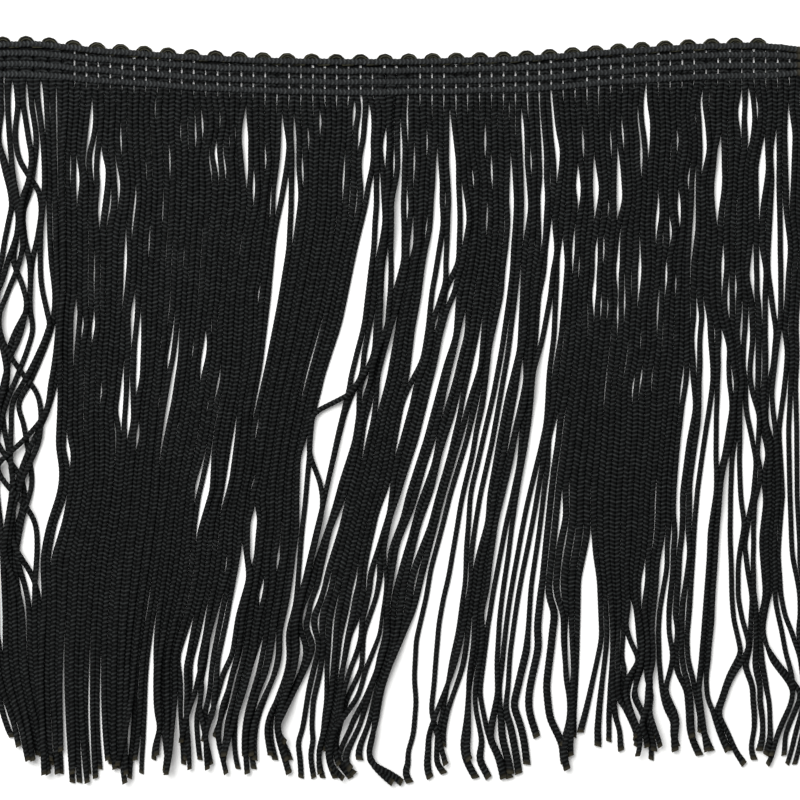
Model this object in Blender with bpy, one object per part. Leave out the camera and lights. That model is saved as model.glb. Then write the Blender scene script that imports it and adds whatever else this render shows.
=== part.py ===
"""A cut length of chainette fringe trim, laid flat with its strands combed down.

The knitted heading runs along X, the picot edge is its +Y side and the strands hang towards -Y.
The back of the trim is on z = 0.  Sizes are in millimetres, and become metres where a mesh is made.
Along the trim, places are measured from a mark near its left end; across it, from the hem line,
which is the lowest point of the heading's lower edge.
"""

import math
import random
from dataclasses import dataclass

import bmesh
import bpy
from mathutils import Vector

MM = 0.001

# The trim
LEFT_END = -3.3
RIGHT_END = 176.6
PIECE_GAP = 0.45

# The strands: knitted chainette, two to each wale of the heading
STRANDS = 135
FIRST_ROOT = -2.5
ROOT_PITCH = 1.31
LOOSE_STRANDS = 11
LOOSE_ROOT_PITCH = 1.54
STRAND_WIDTH = 1.23
STRAND_HEIGHT = 0.9
LAYER_RISE = STRAND_HEIGHT + 0.3
SIDE_ROOM = 0.12
CROSSING_ROOM = STRAND_WIDTH + 0.35
SETTLING_PASSES = 120

# The heading, from the strands' backing strips up to the picot edge
STRIP_DEPTH = 1.3
WEB_HEIGHT = 1.0
RIB_HEIGHT = 1.7
RIB_HALF_WIDTH = 0.75
RIB_LINES = (3.0, 5.35)
HEADING_TOP = 6.4
HEADING_STATIONS = 36

# The picot edge: a base cord and the arches of cord that rise from it
PICOT_PITCH = 5.2
FIRST_PICOT = 0.3
PICOT_BASE = HEADING_TOP + PIECE_GAP
PICOT_DIP = 7.9
PICOT_CREST = 9.15
PICOT_HEIGHT = 1.5
PICOT_CHAMFER = 0.4
PICOT_STATIONS = (0.0, 0.2, 0.31, 0.36, 0.5)
ARCH_SHARE = 0.72
END_ROOM = 0.2

# The right end of the heading curls over, so that it lies narrower than the rest
CURL_LENGTH = 7.5
CURL_WIDTH = 0.7
CURL_LINE = 4.6
PICOTS_FADE = 1.6

# How far the trim lies above the hem line: place along it, rise
LIE_OF_HEADING = (
    (-4.0, 3.4),
    (5.5, 4.0),
    (21.5, 2.6),
    (47.5, 0.8),
    (74.0, 0.0),
    (95.0, 0.2),
    (116.0, 0.8),
    (141.5, 2.7),
    (162.0, 3.6),
    (178.0, 3.3),
)

# How far down the strands reach: place along the heading, depth under the hem line
TIP_DEPTHS = (
    (-4.0, 142.8),
    (13.0, 148.7),
    (26.0, 150.0),
    (40.0, 148.7),
    (55.0, 147.8),
    (81.0, 148.0),
    (92.0, 148.7),
    (110.0, 149.6),
    (128.0, 147.8),
    (134.0, 144.0),
    (150.0, 145.0),
    (163.0, 145.5),
    (178.0, 147.2),
)
TIP_SHORTER = 2.4
TIP_LONGER = 1.9
SHORT_SHARE = 0.1
SHORT_BY = 4.5
LEAST_TIP_STEP = 3.0

# The layers, and the depths under the hem line at which the lie of the strands is set out
BOTH = (0, 1)
UNDER = (0,)
OVER = (1,)
DEPTHS = (20, 35, 50, 62, 70, 84, 98, 112, 127, 140, 153)
SCATTER_SEED = 3
COMBED_SCATTER = 0.09
TAIL_DEPTH = 105
TAIL_SCATTER_LEFT = 0.25
TAIL_SCATTER_RIGHT = 0.8


@dataclass(frozen=True)
class Guide:
    """One strand whose lie is given; those between two guides are shared out evenly.

    swing is how far it has moved to the right of its own root at each of DEPTHS.
    """

    strand: int
    layers: tuple
    swing: tuple


GUIDES = (
    #     depth:          20    35    50    62    70    84    98    112    127    140    153
    # The loose strands at the left end, which lie over one another
    Guide(0, UNDER, (-0.4, -0.1, -0.1, -0.1, -0.1, -0.1, 0.3, 1.2, 1.4, 4.7, 6.9)),
    Guide(2, UNDER, (1.6, -0.4, -1.8, -1.7, -1.5, -1.7, -1.2, -0.1, 0.3, 3.4, 5.1)),
    Guide(4, UNDER, (0.5, -1.0, -3.6, -2.2, -3.0, -0.8, -2.1, -1.2, -0.8, 1.8, 3.4)),
    Guide(6, UNDER, (0.3, -1.5, -1.5, -2.8, -4.1, 0.1, -3.2, -2.1, -1.9, 0.3, 1.8)),
    Guide(8, UNDER, (0.3, -0.8, 1.2, -3.0, -0.6, 0.3, -2.6, -3.0, -3.0, -1.2, 0.1)),
    Guide(10, UNDER, (-0.9, -0.9, -0.4, -1.5, -0.8, -0.6, -2.6, -3.9, -3.9, -2.8, -1.7)),
    Guide(12, UNDER, (-0.4, -1.2, -0.6, -1.5, -1.5, -1.0, -2.3, -4.8, -4.8, -3.9, -3.2)),
    Guide(1, OVER, (-0.4, 0.1, -0.8, -0.8, -0.8, -1.0, -0.4, 0.5, 1.0, 4.0, 6.0)),
    Guide(3, OVER, (1.0, 0.1, -2.3, -0.6, -2.6, -2.8, -1.2, -0.6, -0.1, 2.5, 4.3)),
    Guide(5, OVER, (1.4, 1.2, 1.8, 0.1, -0.6, -1.0, -2.6, -1.7, -1.2, 1.0, 2.5)),
    Guide(7, OVER, (2.1, 0.5, 2.5, -0.8, 1.0, -1.0, -2.1, -2.6, -2.3, -0.6, 1.0)),
    Guide(9, OVER, (0.3, -0.6, 0.9, -1.9, -0.7, -0.4, -2.6, -3.4, -3.4, -2.1, -0.8)),
    Guide(11, OVER, (0.3, -1.0, -0.4, -1.7, -1.0, -0.6, -3.4, -4.3, -4.5, -3.4, -2.6)),
    Guide(13, OVER, (-0.3, -1.2, -0.8, -1.7, -1.4, -1.2, -2.5, -4.7, -5.0, -4.3, -3.6)),
    # The smooth left half, combed aslant
    Guide(22, BOTH, (-0.2, -1.8, -2.0, -2.7, -3.1, -3.3, -5.1, -6.4, -7.7, -9.1, -9.7)),
    Guide(29, BOTH, (-0.4, -0.6, -1.1, -2.2, -3.3, -5.0, -6.8, -8.5, -10.3, -12.1, -13.4)),
    Guide(35, BOTH, (-0.1, -0.6, -1.4, -3.2, -4.5, -6.7, -9.4, -12.0, -13.3, -13.8, -13.8)),
    Guide(42, BOTH, (0.0, -0.5, -1.1, -2.0, -3.1, -4.9, -8.2, -11.7, -12.8, -13.7, -14.1)),
    Guide(48, BOTH, (-0.4, -3.1, -4.2, -5.3, -6.4, -8.3, -10.1, -12.7, -15.8, -16.7, -17.1)),
    Guide(49, BOTH, (0.0, -1.3, -4.4, -5.7, -6.8, -8.8, -9.2, -11.4, -14.9, -17.1, -17.6)),
    Guide(56, BOTH, (-1.0, -3.0, -5.8, -8.0, -9.4, -10.9, -13.1, -15.3, -18.0, -21.0, -22.8)),
    # The long parting, with two stray strands that lie across it
    Guide(63, BOTH, (-1.4, -4.2, -8.0, -12.8, -13.9, -15.5, -16.3, -17.4, -17.9, -21.0, -24.9)),
    Guide(64, BOTH, (-0.9, -2.2, -3.8, -7.8, -8.4, -12.2, -15.0, -16.5, -15.2, -16.8, -17.4)),
    Guide(65, BOTH, (-0.5, -2.2, -3.6, -6.4, -16.1, -18.3, -19.2, -19.8, -20.1, -23.1, -27.5)),
    Guide(66, BOTH, (-0.7, -0.7, -3.5, -7.7, -7.9, -10.8, -15.6, -16.5, -17.4, -17.8, -18.3)),
    Guide(67, BOTH, (0.9, 0.9, -2.9, -8.6, -8.4, -11.0, -15.6, -17.0, -17.4, -18.3, -18.7)),
    Guide(68, BOTH, (1.3, 0.7, -3.3, -8.4, -7.0, -11.2, -14.1, -16.5, -17.8, -18.7, -19.2)),
    # The partings and locks of the middle
    Guide(73, BOTH, (-0.6, -2.2, -5.0, -7.2, -8.3, -11.0, -12.1, -15.8, -20.2, -22.2, -20.9)),
    Guide(74, BOTH, (0.0, -0.8, -3.0, -6.5, -7.4, -9.8, -12.0, -14.0, -19.5, -22.6, -21.7)),
    Guide(76, BOTH, (-1.0, -1.5, -2.8, -5.9, -7.6, -11.4, -11.6, -13.6, -17.3, -20.0, -19.5)),
    Guide(77, BOTH, (-0.1, -0.1, -0.6, -4.1, -6.3, -10.0, -10.5, -14.2, -17.3, -20.4, -20.4)),
    Guide(79, BOTH, (-0.6, -1.0, -1.0, -4.1, -6.5, -8.9, -10.0, -13.1, -17.7, -20.1, -20.4)),
    Guide(80, BOTH, (-0.5, -1.0, -1.4, -4.3, -5.4, -9.6, -10.5, -12.4, -13.5, -12.4, -12.0)),
    Guide(82, BOTH, (-0.8, -1.2, -1.9, -3.8, -4.9, -8.9, -9.3, -10.9, -12.9, -15.9, -16.4)),
    Guide(85, BOTH, (0.4, -0.3, -1.8, -4.9, -6.2, -8.6, -8.2, -9.3, -11.5, -13.9, -15.0)),
    Guide(88, BOTH, (-0.2, -0.7, -2.0, -3.5, -4.7, -7.1, -7.7, -9.7, -11.0, -10.6, -9.5)),
    Guide(89, BOTH, (0.0, -0.5, -2.2, -4.0, -4.6, -7.3, -6.4, -8.6, -7.5, -9.5, -9.0)),
    Guide(92, BOTH, (-0.4, -0.4, -2.4, -3.7, -4.6, -6.6, -5.3, -6.8, -6.4, -6.6, -7.9)),
    Guide(93, BOTH, (0.0, 0.5, -1.5, -1.5, -1.7, -4.4, -5.3, -5.9, -6.6, -5.7, -4.4)),
    Guide(96, BOTH, (-0.4, -0.6, -1.3, -2.2, -2.6, -4.4, -4.8, -5.9, -7.4, -6.6, -5.2)),
    Guide(98, BOTH, (-0.2, -0.6, -1.0, -1.7, -2.3, -3.7, -4.3, -4.8, -3.9, -5.2, -7.6)),
    # The broad lock right of the middle, and the partings past it
    Guide(100, BOTH, (-0.8, -1.0, -1.2, -1.7, -2.1, -2.6, -3.0, -4.1, -4.5, -4.8, -2.8)),
    Guide(101, BOTH, (-0.1, -0.6, -1.0, -1.4, -1.7, -2.1, -1.7, -0.3, -1.7, -3.4, -3.9)),
    Guide(110, BOTH, (-0.7, -0.7, -1.3, -2.0, -2.4, -3.3, -4.7, -7.3, -6.8, -6.0, -6.4)),
    Guide(115, BOTH, (-0.2, -0.4, -0.9, -1.1, -1.5, -2.8, -3.3, -4.6, -7.2, -8.6, -9.4)),
    Guide(116, BOTH, (-0.2, -0.4, -0.6, -0.6, -2.0, -3.5, -4.2, -5.0, -5.9, -6.8, -6.3)),
    Guide(119, BOTH, (-0.6, -1.0, -1.5, -1.9, -2.1, -2.8, -3.5, -4.1, -4.6, -1.9, -1.0)),
    Guide(120, BOTH, (-0.1, -0.6, -0.8, -0.4, -0.6, -0.1, -1.2, -2.6, -2.8, -1.9, -1.0)),
    Guide(122, BOTH, (-0.6, -0.3, -1.4, -1.9, -2.1, -2.1, -2.8, -3.0, -2.8, -1.0, 0.3)),
    Guide(123, BOTH, (-0.6, -1.0, -0.8, -0.6, -0.6, -1.0, -0.8, -0.1, 2.1, 2.5, 1.2)),
    Guide(125, BOTH, (-0.1, 0.6, 0.1, -0.8, -1.2, -1.2, -1.6, -0.5, 1.2, 1.7, 2.8)),
    Guide(126, BOTH, (0.1, 1.2, -0.1, -0.1, 1.7, 1.2, -0.8, 0.3, 0.8, 1.7, 2.6)),
    Guide(130, BOTH, (-0.7, -1.4, 0.4, -0.1, -0.9, -1.4, -0.9, -1.4, -1.4, -0.5, 0.4)),
    Guide(131, BOTH, (-0.3, 0.0, -0.3, 0.8, 0.0, -0.7, -0.7, -0.7, 1.3, 0.8, 1.7)),
    Guide(134, BOTH, (-0.2, -0.4, -0.2, -0.2, -0.2, -0.2, -0.2, 0.0, -0.2, -0.7, 0.0)),
)


# ---------------------------------------------------------------- the lie of the trim


def along_table(table, place):
    """The value at a place, on a smooth curve through a table of (place, value) rows."""
    row = sum(place > start for start, _ in table[1:-1])
    (start, low), (end, high) = table[row], table[row + 1]
    before = table[max(row - 1, 0)]
    after = table[min(row + 2, len(table) - 1)]
    slope_in = (high - before[1]) / (end - before[0])
    slope_out = (after[1] - low) / (after[0] - start)
    span = end - start
    share = (place - start) / span
    rest = 1 - share
    return (
        (1 + 2 * share) * rest * rest * low
        + share * rest * rest * span * slope_in
        + (1 + 2 * rest) * share * share * high
        - rest * share * share * span * slope_out
    )


def into_curl(place):
    """How far into the curled right end of the heading a place is: 0 where it starts, 1 at the end."""
    return min(1.0, max(0.0, 1 - (RIGHT_END - place) / CURL_LENGTH))


def across(place, height):
    """How far above the hem line a height on the heading lies at this place along it."""
    width = 1 - (1 - CURL_WIDTH) * into_curl(place)
    return along_table(LIE_OF_HEADING, place) + CURL_LINE + (height - CURL_LINE) * width


def root_of(strand):
    """The place of a strand's root: wider apart at the stretched left end."""
    loose = min(strand, LOOSE_STRANDS)
    return FIRST_ROOT + LOOSE_ROOT_PITCH * loose + ROOT_PITCH * (strand - loose)


def evenly(start, end, count):
    return [start + (end - start) * step / (count - 1) for step in range(count)]


# ---------------------------------------------------------------- the lie of the strands


def swing_of(strand):
    """The swings of one strand, shared out between the guides of its own layer."""
    layer = strand % 2
    guides = [guide for guide in GUIDES if layer in guide.layers]
    before = [guide for guide in guides if guide.strand <= strand]
    after = [guide for guide in guides if guide.strand >= strand]
    low = before[-1] if before else after[0]
    high = after[0]
    between = high.strand - low.strand
    share = (strand - low.strand) / between if between else 0.0
    return [a + (b - a) * share for a, b in zip(low.swing, high.swing)]


def scatter_at(depth, place):
    """How far a strand may stray from its combed place: more in its tail, and to the right."""
    tail = max(0.0, depth - TAIL_DEPTH) / (DEPTHS[-1] - TAIL_DEPTH)
    rightward = min(1.0, max(0.0, place / RIGHT_END))
    tail_scatter = TAIL_SCATTER_LEFT + (TAIL_SCATTER_RIGHT - TAIL_SCATTER_LEFT) * rightward
    return COMBED_SCATTER + tail_scatter * tail


def settled(places):
    """The places of one layer's strands at one depth, moved apart until none overlap."""
    least = STRAND_WIDTH + SIDE_ROOM
    places = list(places)
    for _ in range(SETTLING_PASSES):
        for left in range(len(places) - 1):
            overlap = least - (places[left + 1] - places[left])
            if overlap > 0:
                places[left] -= overlap / 2
                places[left + 1] += overlap / 2
    for left in range(len(places) - 1):
        places[left + 1] = max(places[left + 1], places[left] + least)
    return places


def strand_places():
    """For each strand, its place along the trim at each of DEPTHS."""
    scatter = random.Random(SCATTER_SEED)
    places = []
    for strand in range(STRANDS):
        row = []
        for depth, swing in zip(DEPTHS, swing_of(strand)):
            place = root_of(strand) + swing
            stray = scatter_at(depth, place)
            row.append(place + scatter.uniform(-stray, stray))
        places.append(row)
    for layer in (0, 1):
        members = range(layer, STRANDS, 2)
        for level in range(len(DEPTHS)):
            apart = settled(places[strand][level] for strand in members)
            for strand, place in zip(members, apart):
                places[strand][level] = place
    return places


def tip_depths():
    """For each strand, how far down its cut end is."""
    scatter = random.Random(SCATTER_SEED + 1)
    depths = []
    for strand in range(STRANDS):
        depth = along_table(TIP_DEPTHS, root_of(strand))
        depth += scatter.uniform(-TIP_SHORTER, TIP_LONGER)
        if scatter.random() < SHORT_SHARE:
            depth -= SHORT_BY
        depths.append(depth)
    return depths


def between(level_places, depth):
    """A strand's place at any depth past the first of DEPTHS, on the straight between two."""
    for level in range(len(DEPTHS) - 1):
        if depth <= DEPTHS[level + 1]:
            share = (depth - DEPTHS[level]) / (DEPTHS[level + 1] - DEPTHS[level])
            return level_places[level] + share * (level_places[level + 1] - level_places[level])
    return level_places[-1]


def meets(upper_step, lower_step):
    """Whether two strands come over each other between two neighbouring levels."""
    (upper_start, upper_end), (lower_start, lower_end) = upper_step, lower_step
    start_gap = upper_start - lower_start
    end_gap = upper_end - lower_end
    crosses = start_gap * end_gap < 0
    return crosses or min(abs(start_gap), abs(end_gap)) < CROSSING_ROOM


def rises(strand, places):
    """How high an upper strand's underside is at each of DEPTHS: it drops where it lies alone."""
    lower_strands = range(0, STRANDS, 2)
    carried = []
    for level in range(len(DEPTHS) - 1):
        step = places[strand][level : level + 2]
        carried.append(
            any(meets(step, places[lower][level : level + 2]) for lower in lower_strands)
        )
    beside = zip([True, *carried], [*carried, False])
    return [LAYER_RISE if above or below else 0.0 for above, below in beside]


def strand_paths(layer):
    """The points down the middle of each strand's underside: (place, up, height)."""
    places = strand_places()
    tips = tip_depths()
    paths = []
    for strand in range(layer, STRANDS, 2):
        heights = rises(strand, places) if layer else [0.0] * len(DEPTHS)
        root = root_of(strand)
        tip = tips[strand]
        path = [(root, across(root, 0.0), LAYER_RISE * layer)]
        for place, depth, height in zip(places[strand], DEPTHS, heights):
            if depth < tip - LEAST_TIP_STEP:
                path.append((place, -depth, height))
        path.append((between(places[strand], tip), -tip, heights[len(path) - 1]))
        paths.append(path)
    return paths


# ---------------------------------------------------------------- making meshes


def finish_mesh(name, points, faces, colour, roughness):
    """A closed object from points in millimetres, with its own material."""
    mesh = bpy.data.meshes.new(name)
    mesh.from_pydata([Vector(point) * MM for point in points], [], faces)
    work = bmesh.new()
    work.from_mesh(mesh)
    bmesh.ops.triangulate(work, faces=work.faces[:])
    bmesh.ops.recalc_face_normals(work, faces=work.faces[:])
    work.to_mesh(mesh)
    work.free()
    material = bpy.data.materials.new(name)
    material.use_nodes = True
    shader = material.node_tree.nodes["Principled BSDF"]
    shader.inputs["Base Color"].default_value = (*colour, 1.0)
    shader.inputs["Roughness"].default_value = roughness
    shader.inputs["Metallic"].default_value = 0.0
    mesh.materials.append(material)
    piece = bpy.data.objects.new(name, mesh)
    bpy.context.scene.collection.objects.link(piece)
    return piece


def swept(sections):
    """Points and faces of a solid through like sections, closed at both ends."""
    count = len(sections[0])
    points = [point for section in sections for point in section]
    faces = [tuple(range(count)), tuple(range(len(points) - count, len(points)))]
    for step in range(len(sections) - 1):
        near = step * count
        far = near + count
        for side in range(count):
            following = (side + 1) % count
            faces.append((near + side, near + following, far + following, far + side))
    return points, faces


# ---------------------------------------------------------------- the pieces


def build_heading():
    """The knitted band: a flat back, and a rib along each row of chain stitches."""
    profile = [(STRIP_DEPTH + PIECE_GAP, WEB_HEIGHT)]
    for line in RIB_LINES:
        profile += [
            (line - RIB_HALF_WIDTH, WEB_HEIGHT),
            (line - RIB_HALF_WIDTH / 2, RIB_HEIGHT),
            (line + RIB_HALF_WIDTH / 2, RIB_HEIGHT),
            (line + RIB_HALF_WIDTH, WEB_HEIGHT),
        ]
    profile += [(HEADING_TOP, WEB_HEIGHT), (HEADING_TOP, 0.0), (STRIP_DEPTH + PIECE_GAP, 0.0)]
    sections = [
        [(place, across(place, height), thick) for height, thick in profile]
        for place in evenly(LEFT_END, RIGHT_END, HEADING_STATIONS)
    ]
    return finish_mesh("heading", *swept(sections), (0.012, 0.013, 0.014), 0.85)


def picot_phase(place):
    """How far a place is from the nearest picot's crest: 0 on it, 1 halfway to the next."""
    phase = (place - FIRST_PICOT) / PICOT_PITCH
    return abs(phase - round(phase)) * 2


def arch_at(place):
    """The share of a picot's rise at this place: 1 on its crest, 0 between two picots."""
    return math.sqrt(max(0.0, 1 - (picot_phase(place) / ARCH_SHARE) ** 2))


def picot_places():
    """The places at which the picot edge is set out: closer together on each arch's shoulders."""
    shares = sorted({*PICOT_STATIONS, *(1 - station for station in PICOT_STATIONS)} - {1.0})
    first = math.floor((LEFT_END - FIRST_PICOT) / PICOT_PITCH)
    last = math.ceil((RIGHT_END - FIRST_PICOT) / PICOT_PITCH)
    places = [
        FIRST_PICOT + PICOT_PITCH * (number + share)
        for number in range(first, last + 1)
        for share in shares
    ]
    inside = [place for place in places if LEFT_END + END_ROOM < place < RIGHT_END - END_ROOM]
    return [LEFT_END] + inside + [RIGHT_END]


def build_picot_edge():
    """The base cord along the top of the heading, and the scallops looped up from it."""
    sections = []
    for place in picot_places():
        full = 1 - min(1.0, PICOTS_FADE * into_curl(place))
        crest = PICOT_DIP + (PICOT_CREST - PICOT_DIP) * arch_at(place) * full
        outline = (
            (PICOT_BASE, 0.0),
            (crest, 0.0),
            (crest, PICOT_HEIGHT - PICOT_CHAMFER),
            (crest - PICOT_CHAMFER, PICOT_HEIGHT),
            (PICOT_BASE + PICOT_CHAMFER, PICOT_HEIGHT),
            (PICOT_BASE, PICOT_HEIGHT - PICOT_CHAMFER),
        )
        sections.append([(place, across(place, up), thick) for up, thick in outline])
    return finish_mesh("picot_edge", *swept(sections), (0.014, 0.015, 0.016), 0.8)


def comb(paths, floor):
    """Points and faces of a backing strip with a three-sided strand from each of its teeth.

    The strip's front is shared out between the strands' roots, so strip and strands are one skin.
    """
    half = STRAND_WIDTH / 2
    top = floor + STRAND_HEIGHT
    points = []
    faces = []

    def add(*point):
        points.append(point)
        return len(points) - 1

    def post(place):
        """The strip's corners at one of its ends: front low, front high, back low, back high."""
        front = across(place, 0.0)
        back = across(place, STRIP_DEPTH)
        return (
            add(place, front, floor),
            add(place, front, top),
            add(place, back, floor),
            add(place, back, top),
        )

    before = post(LEFT_END)
    faces.append((before[0], before[1], before[3], before[2]))
    for path in paths:
        root = path[0][0]
        back = across(root, STRIP_DEPTH)
        back_low = add(root, back, floor)
        back_high = add(root, back, top)
        low_left = add(root - half, across(root - half, 0.0), floor)
        low_right = add(root + half, across(root + half, 0.0), floor)
        apex = add(root, across(root, 0.0), top)
        rings = [(low_left, low_right, apex)]
        for place, up, low in path[1:]:
            corners = ((place - half, low), (place + half, low), (place, low + STRAND_HEIGHT))
            rings.append(tuple(add(across_place, up, height) for across_place, height in corners))
        faces += [
            (before[0], low_left, apex, before[1]),
            (before[0], low_left, back_low, before[2]),
            (low_left, low_right, back_low),
            (before[1], apex, back_high, before[3]),
            (before[2], back_low, back_high, before[3]),
            rings[-1],
        ]
        for near, far in zip(rings, rings[1:]):
            for side in range(3):
                following = (side + 1) % 3
                faces.append((near[side], near[following], far[following], far[side]))
        before = (low_right, apex, back_low, back_high)
    after = post(RIGHT_END)
    faces += [
        (before[0], after[0], after[1], before[1]),
        (before[0], after[0], after[2], before[2]),
        (before[1], after[1], after[3], before[3]),
        (before[2], after[2], after[3], before[3]),
        (after[0], after[1], after[3], after[2]),
    ]
    return points, faces


def build_fringe(name, layer):
    """Every other strand of the fringe, with its roots fused into a strip under the heading."""
    points, faces = comb(strand_paths(layer), LAYER_RISE * layer)
    return finish_mesh(name, points, faces, (0.010, 0.011, 0.012), 0.75)


def centre_on_origin(pieces):
    """Moves the meshes so that the middle of the whole trim, on the floor, is the origin."""
    corners = [vertex.co for piece in pieces for vertex in piece.data.vertices]
    middle = Vector(
        (
            (min(c.x for c in corners) + max(c.x for c in corners)) / 2,
            (min(c.y for c in corners) + max(c.y for c in corners)) / 2,
            0.0,
        )
    )
    for piece in pieces:
        for vertex in piece.data.vertices:
            vertex.co -= middle
        piece.data.update()
    return middle


def main():
    for old in list(bpy.data.objects):
        bpy.data.objects.remove(old)
    pieces = [
        build_heading(),
        build_picot_edge(),
        build_fringe("fringe_under", 0),
        build_fringe("fringe_over", 1),
    ]
    middle = centre_on_origin(pieces)
    print(f"origin lies {middle.x / MM:.3f} mm along and {middle.y / MM:.3f} mm up")
    for piece in pieces:
        print(piece.name, len(piece.data.polygons), "triangles")


if __name__ == "__main__":
    main()
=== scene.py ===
"""The looks of a cut length of black chainette fringe, laid flat with its strands combed down.

Lengths in the dataclasses are in millimetres.  Along the trim, places are measured from a mark near
its left end; across it, from the hem line, the lowest point of the heading's lower edge.  Both
become metres in the frame where a mesh is made.  The three tables of lines are in squares of a
layout grid, which StrandField turns into millimetres.
"""

from __future__ import annotations

import logging
import math
import sys
from dataclasses import dataclass, field
from enum import Enum

import bpy
import numpy as np
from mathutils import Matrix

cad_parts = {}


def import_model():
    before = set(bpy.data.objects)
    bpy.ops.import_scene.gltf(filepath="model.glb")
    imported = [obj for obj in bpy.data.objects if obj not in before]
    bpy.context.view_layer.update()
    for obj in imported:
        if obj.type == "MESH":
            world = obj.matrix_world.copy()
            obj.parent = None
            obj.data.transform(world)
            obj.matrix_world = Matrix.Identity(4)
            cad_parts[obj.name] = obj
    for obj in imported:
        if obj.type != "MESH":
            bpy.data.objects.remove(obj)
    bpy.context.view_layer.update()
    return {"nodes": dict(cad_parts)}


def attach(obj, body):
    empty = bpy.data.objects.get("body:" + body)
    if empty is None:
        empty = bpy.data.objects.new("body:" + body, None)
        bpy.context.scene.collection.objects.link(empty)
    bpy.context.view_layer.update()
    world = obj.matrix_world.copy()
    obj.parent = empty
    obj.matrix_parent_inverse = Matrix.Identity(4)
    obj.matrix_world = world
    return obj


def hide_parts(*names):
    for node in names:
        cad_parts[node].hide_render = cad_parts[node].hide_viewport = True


MM = 0.001
BODY = "root"
KERNEL_REACH = 3
log = logging.getLogger("fringe")


class Slot(Enum):
    """Names for three material slots, not used by the script."""

    HEADING = "heading_yarn"
    PICOT = "picot_cord"
    FRINGE = "fringe_yarn"


class HighlightPattern(Enum):
    """Where a cord's painted highlight lies: on the crests of its stitches, or along its plies."""

    CRESTS = "Crest Highlight"
    PLIES = "Ply Highlight"


# ------------------------------------------------------------------ numbers along a line


def gaussian(sigma: float) -> np.ndarray:
    """A smoothing kernel.

    Args:
        sigma: Its spread, in samples.

    Returns:
        Weights that add up to one.
    """
    reach = max(1, int(KERNEL_REACH * sigma))
    steps = np.arange(-reach, reach + 1)
    weights = np.exp(-0.5 * (steps / sigma) ** 2)
    return weights / weights.sum()


def smoothed(rows: np.ndarray, sigma: float) -> np.ndarray:
    """Rows of samples, each smoothed along its length.

    Args:
        rows: One line of samples to a row.
        sigma: The spread of the smoothing, in samples.

    Returns:
        Rows of the same shape.
    """
    kernel = gaussian(sigma)
    reach = len(kernel) // 2
    padded = np.pad(rows, ((0, 0), (reach, reach)), mode="edge")
    return np.array([np.convolve(row, kernel, "valid") for row in padded])


def smooth_noise(shape: tuple[int, int], sigma: float, seed: int) -> np.ndarray:
    """Seeded noise that changes slowly along each row.

    Args:
        shape: Rows and samples.
        sigma: How slowly it changes, in samples.
        seed: The seed.

    Returns:
        Rows of noise with a spread of about one.
    """
    noise = smoothed(np.random.default_rng(seed).standard_normal(shape), sigma)
    return noise / noise.std()


def curve_through(stations: np.ndarray, values: np.ndarray, at: np.ndarray) -> np.ndarray:
    """A smooth curve through given values, read at other stations.

    Args:
        stations: Where the values are known, rising.
        values: The values there.
        at: Where to read the curve; past either end it keeps the end's value.

    Returns:
        The curve's values.
    """
    slopes = np.gradient(values, stations)
    at = np.clip(at, stations[0], stations[-1])
    row = np.clip(np.searchsorted(stations, at) - 1, 0, len(stations) - 2)
    span = stations[row + 1] - stations[row]
    t = (at - stations[row]) / span
    rest = 1 - t
    return (
        (1 + 2 * t) * rest**2 * values[row]
        + t * rest**2 * span * slopes[row]
        + (1 + 2 * rest) * t**2 * values[row + 1]
        - rest * t**2 * span * slopes[row + 1]
    )


# ------------------------------------------------------------------ the frame's own shapes


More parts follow.
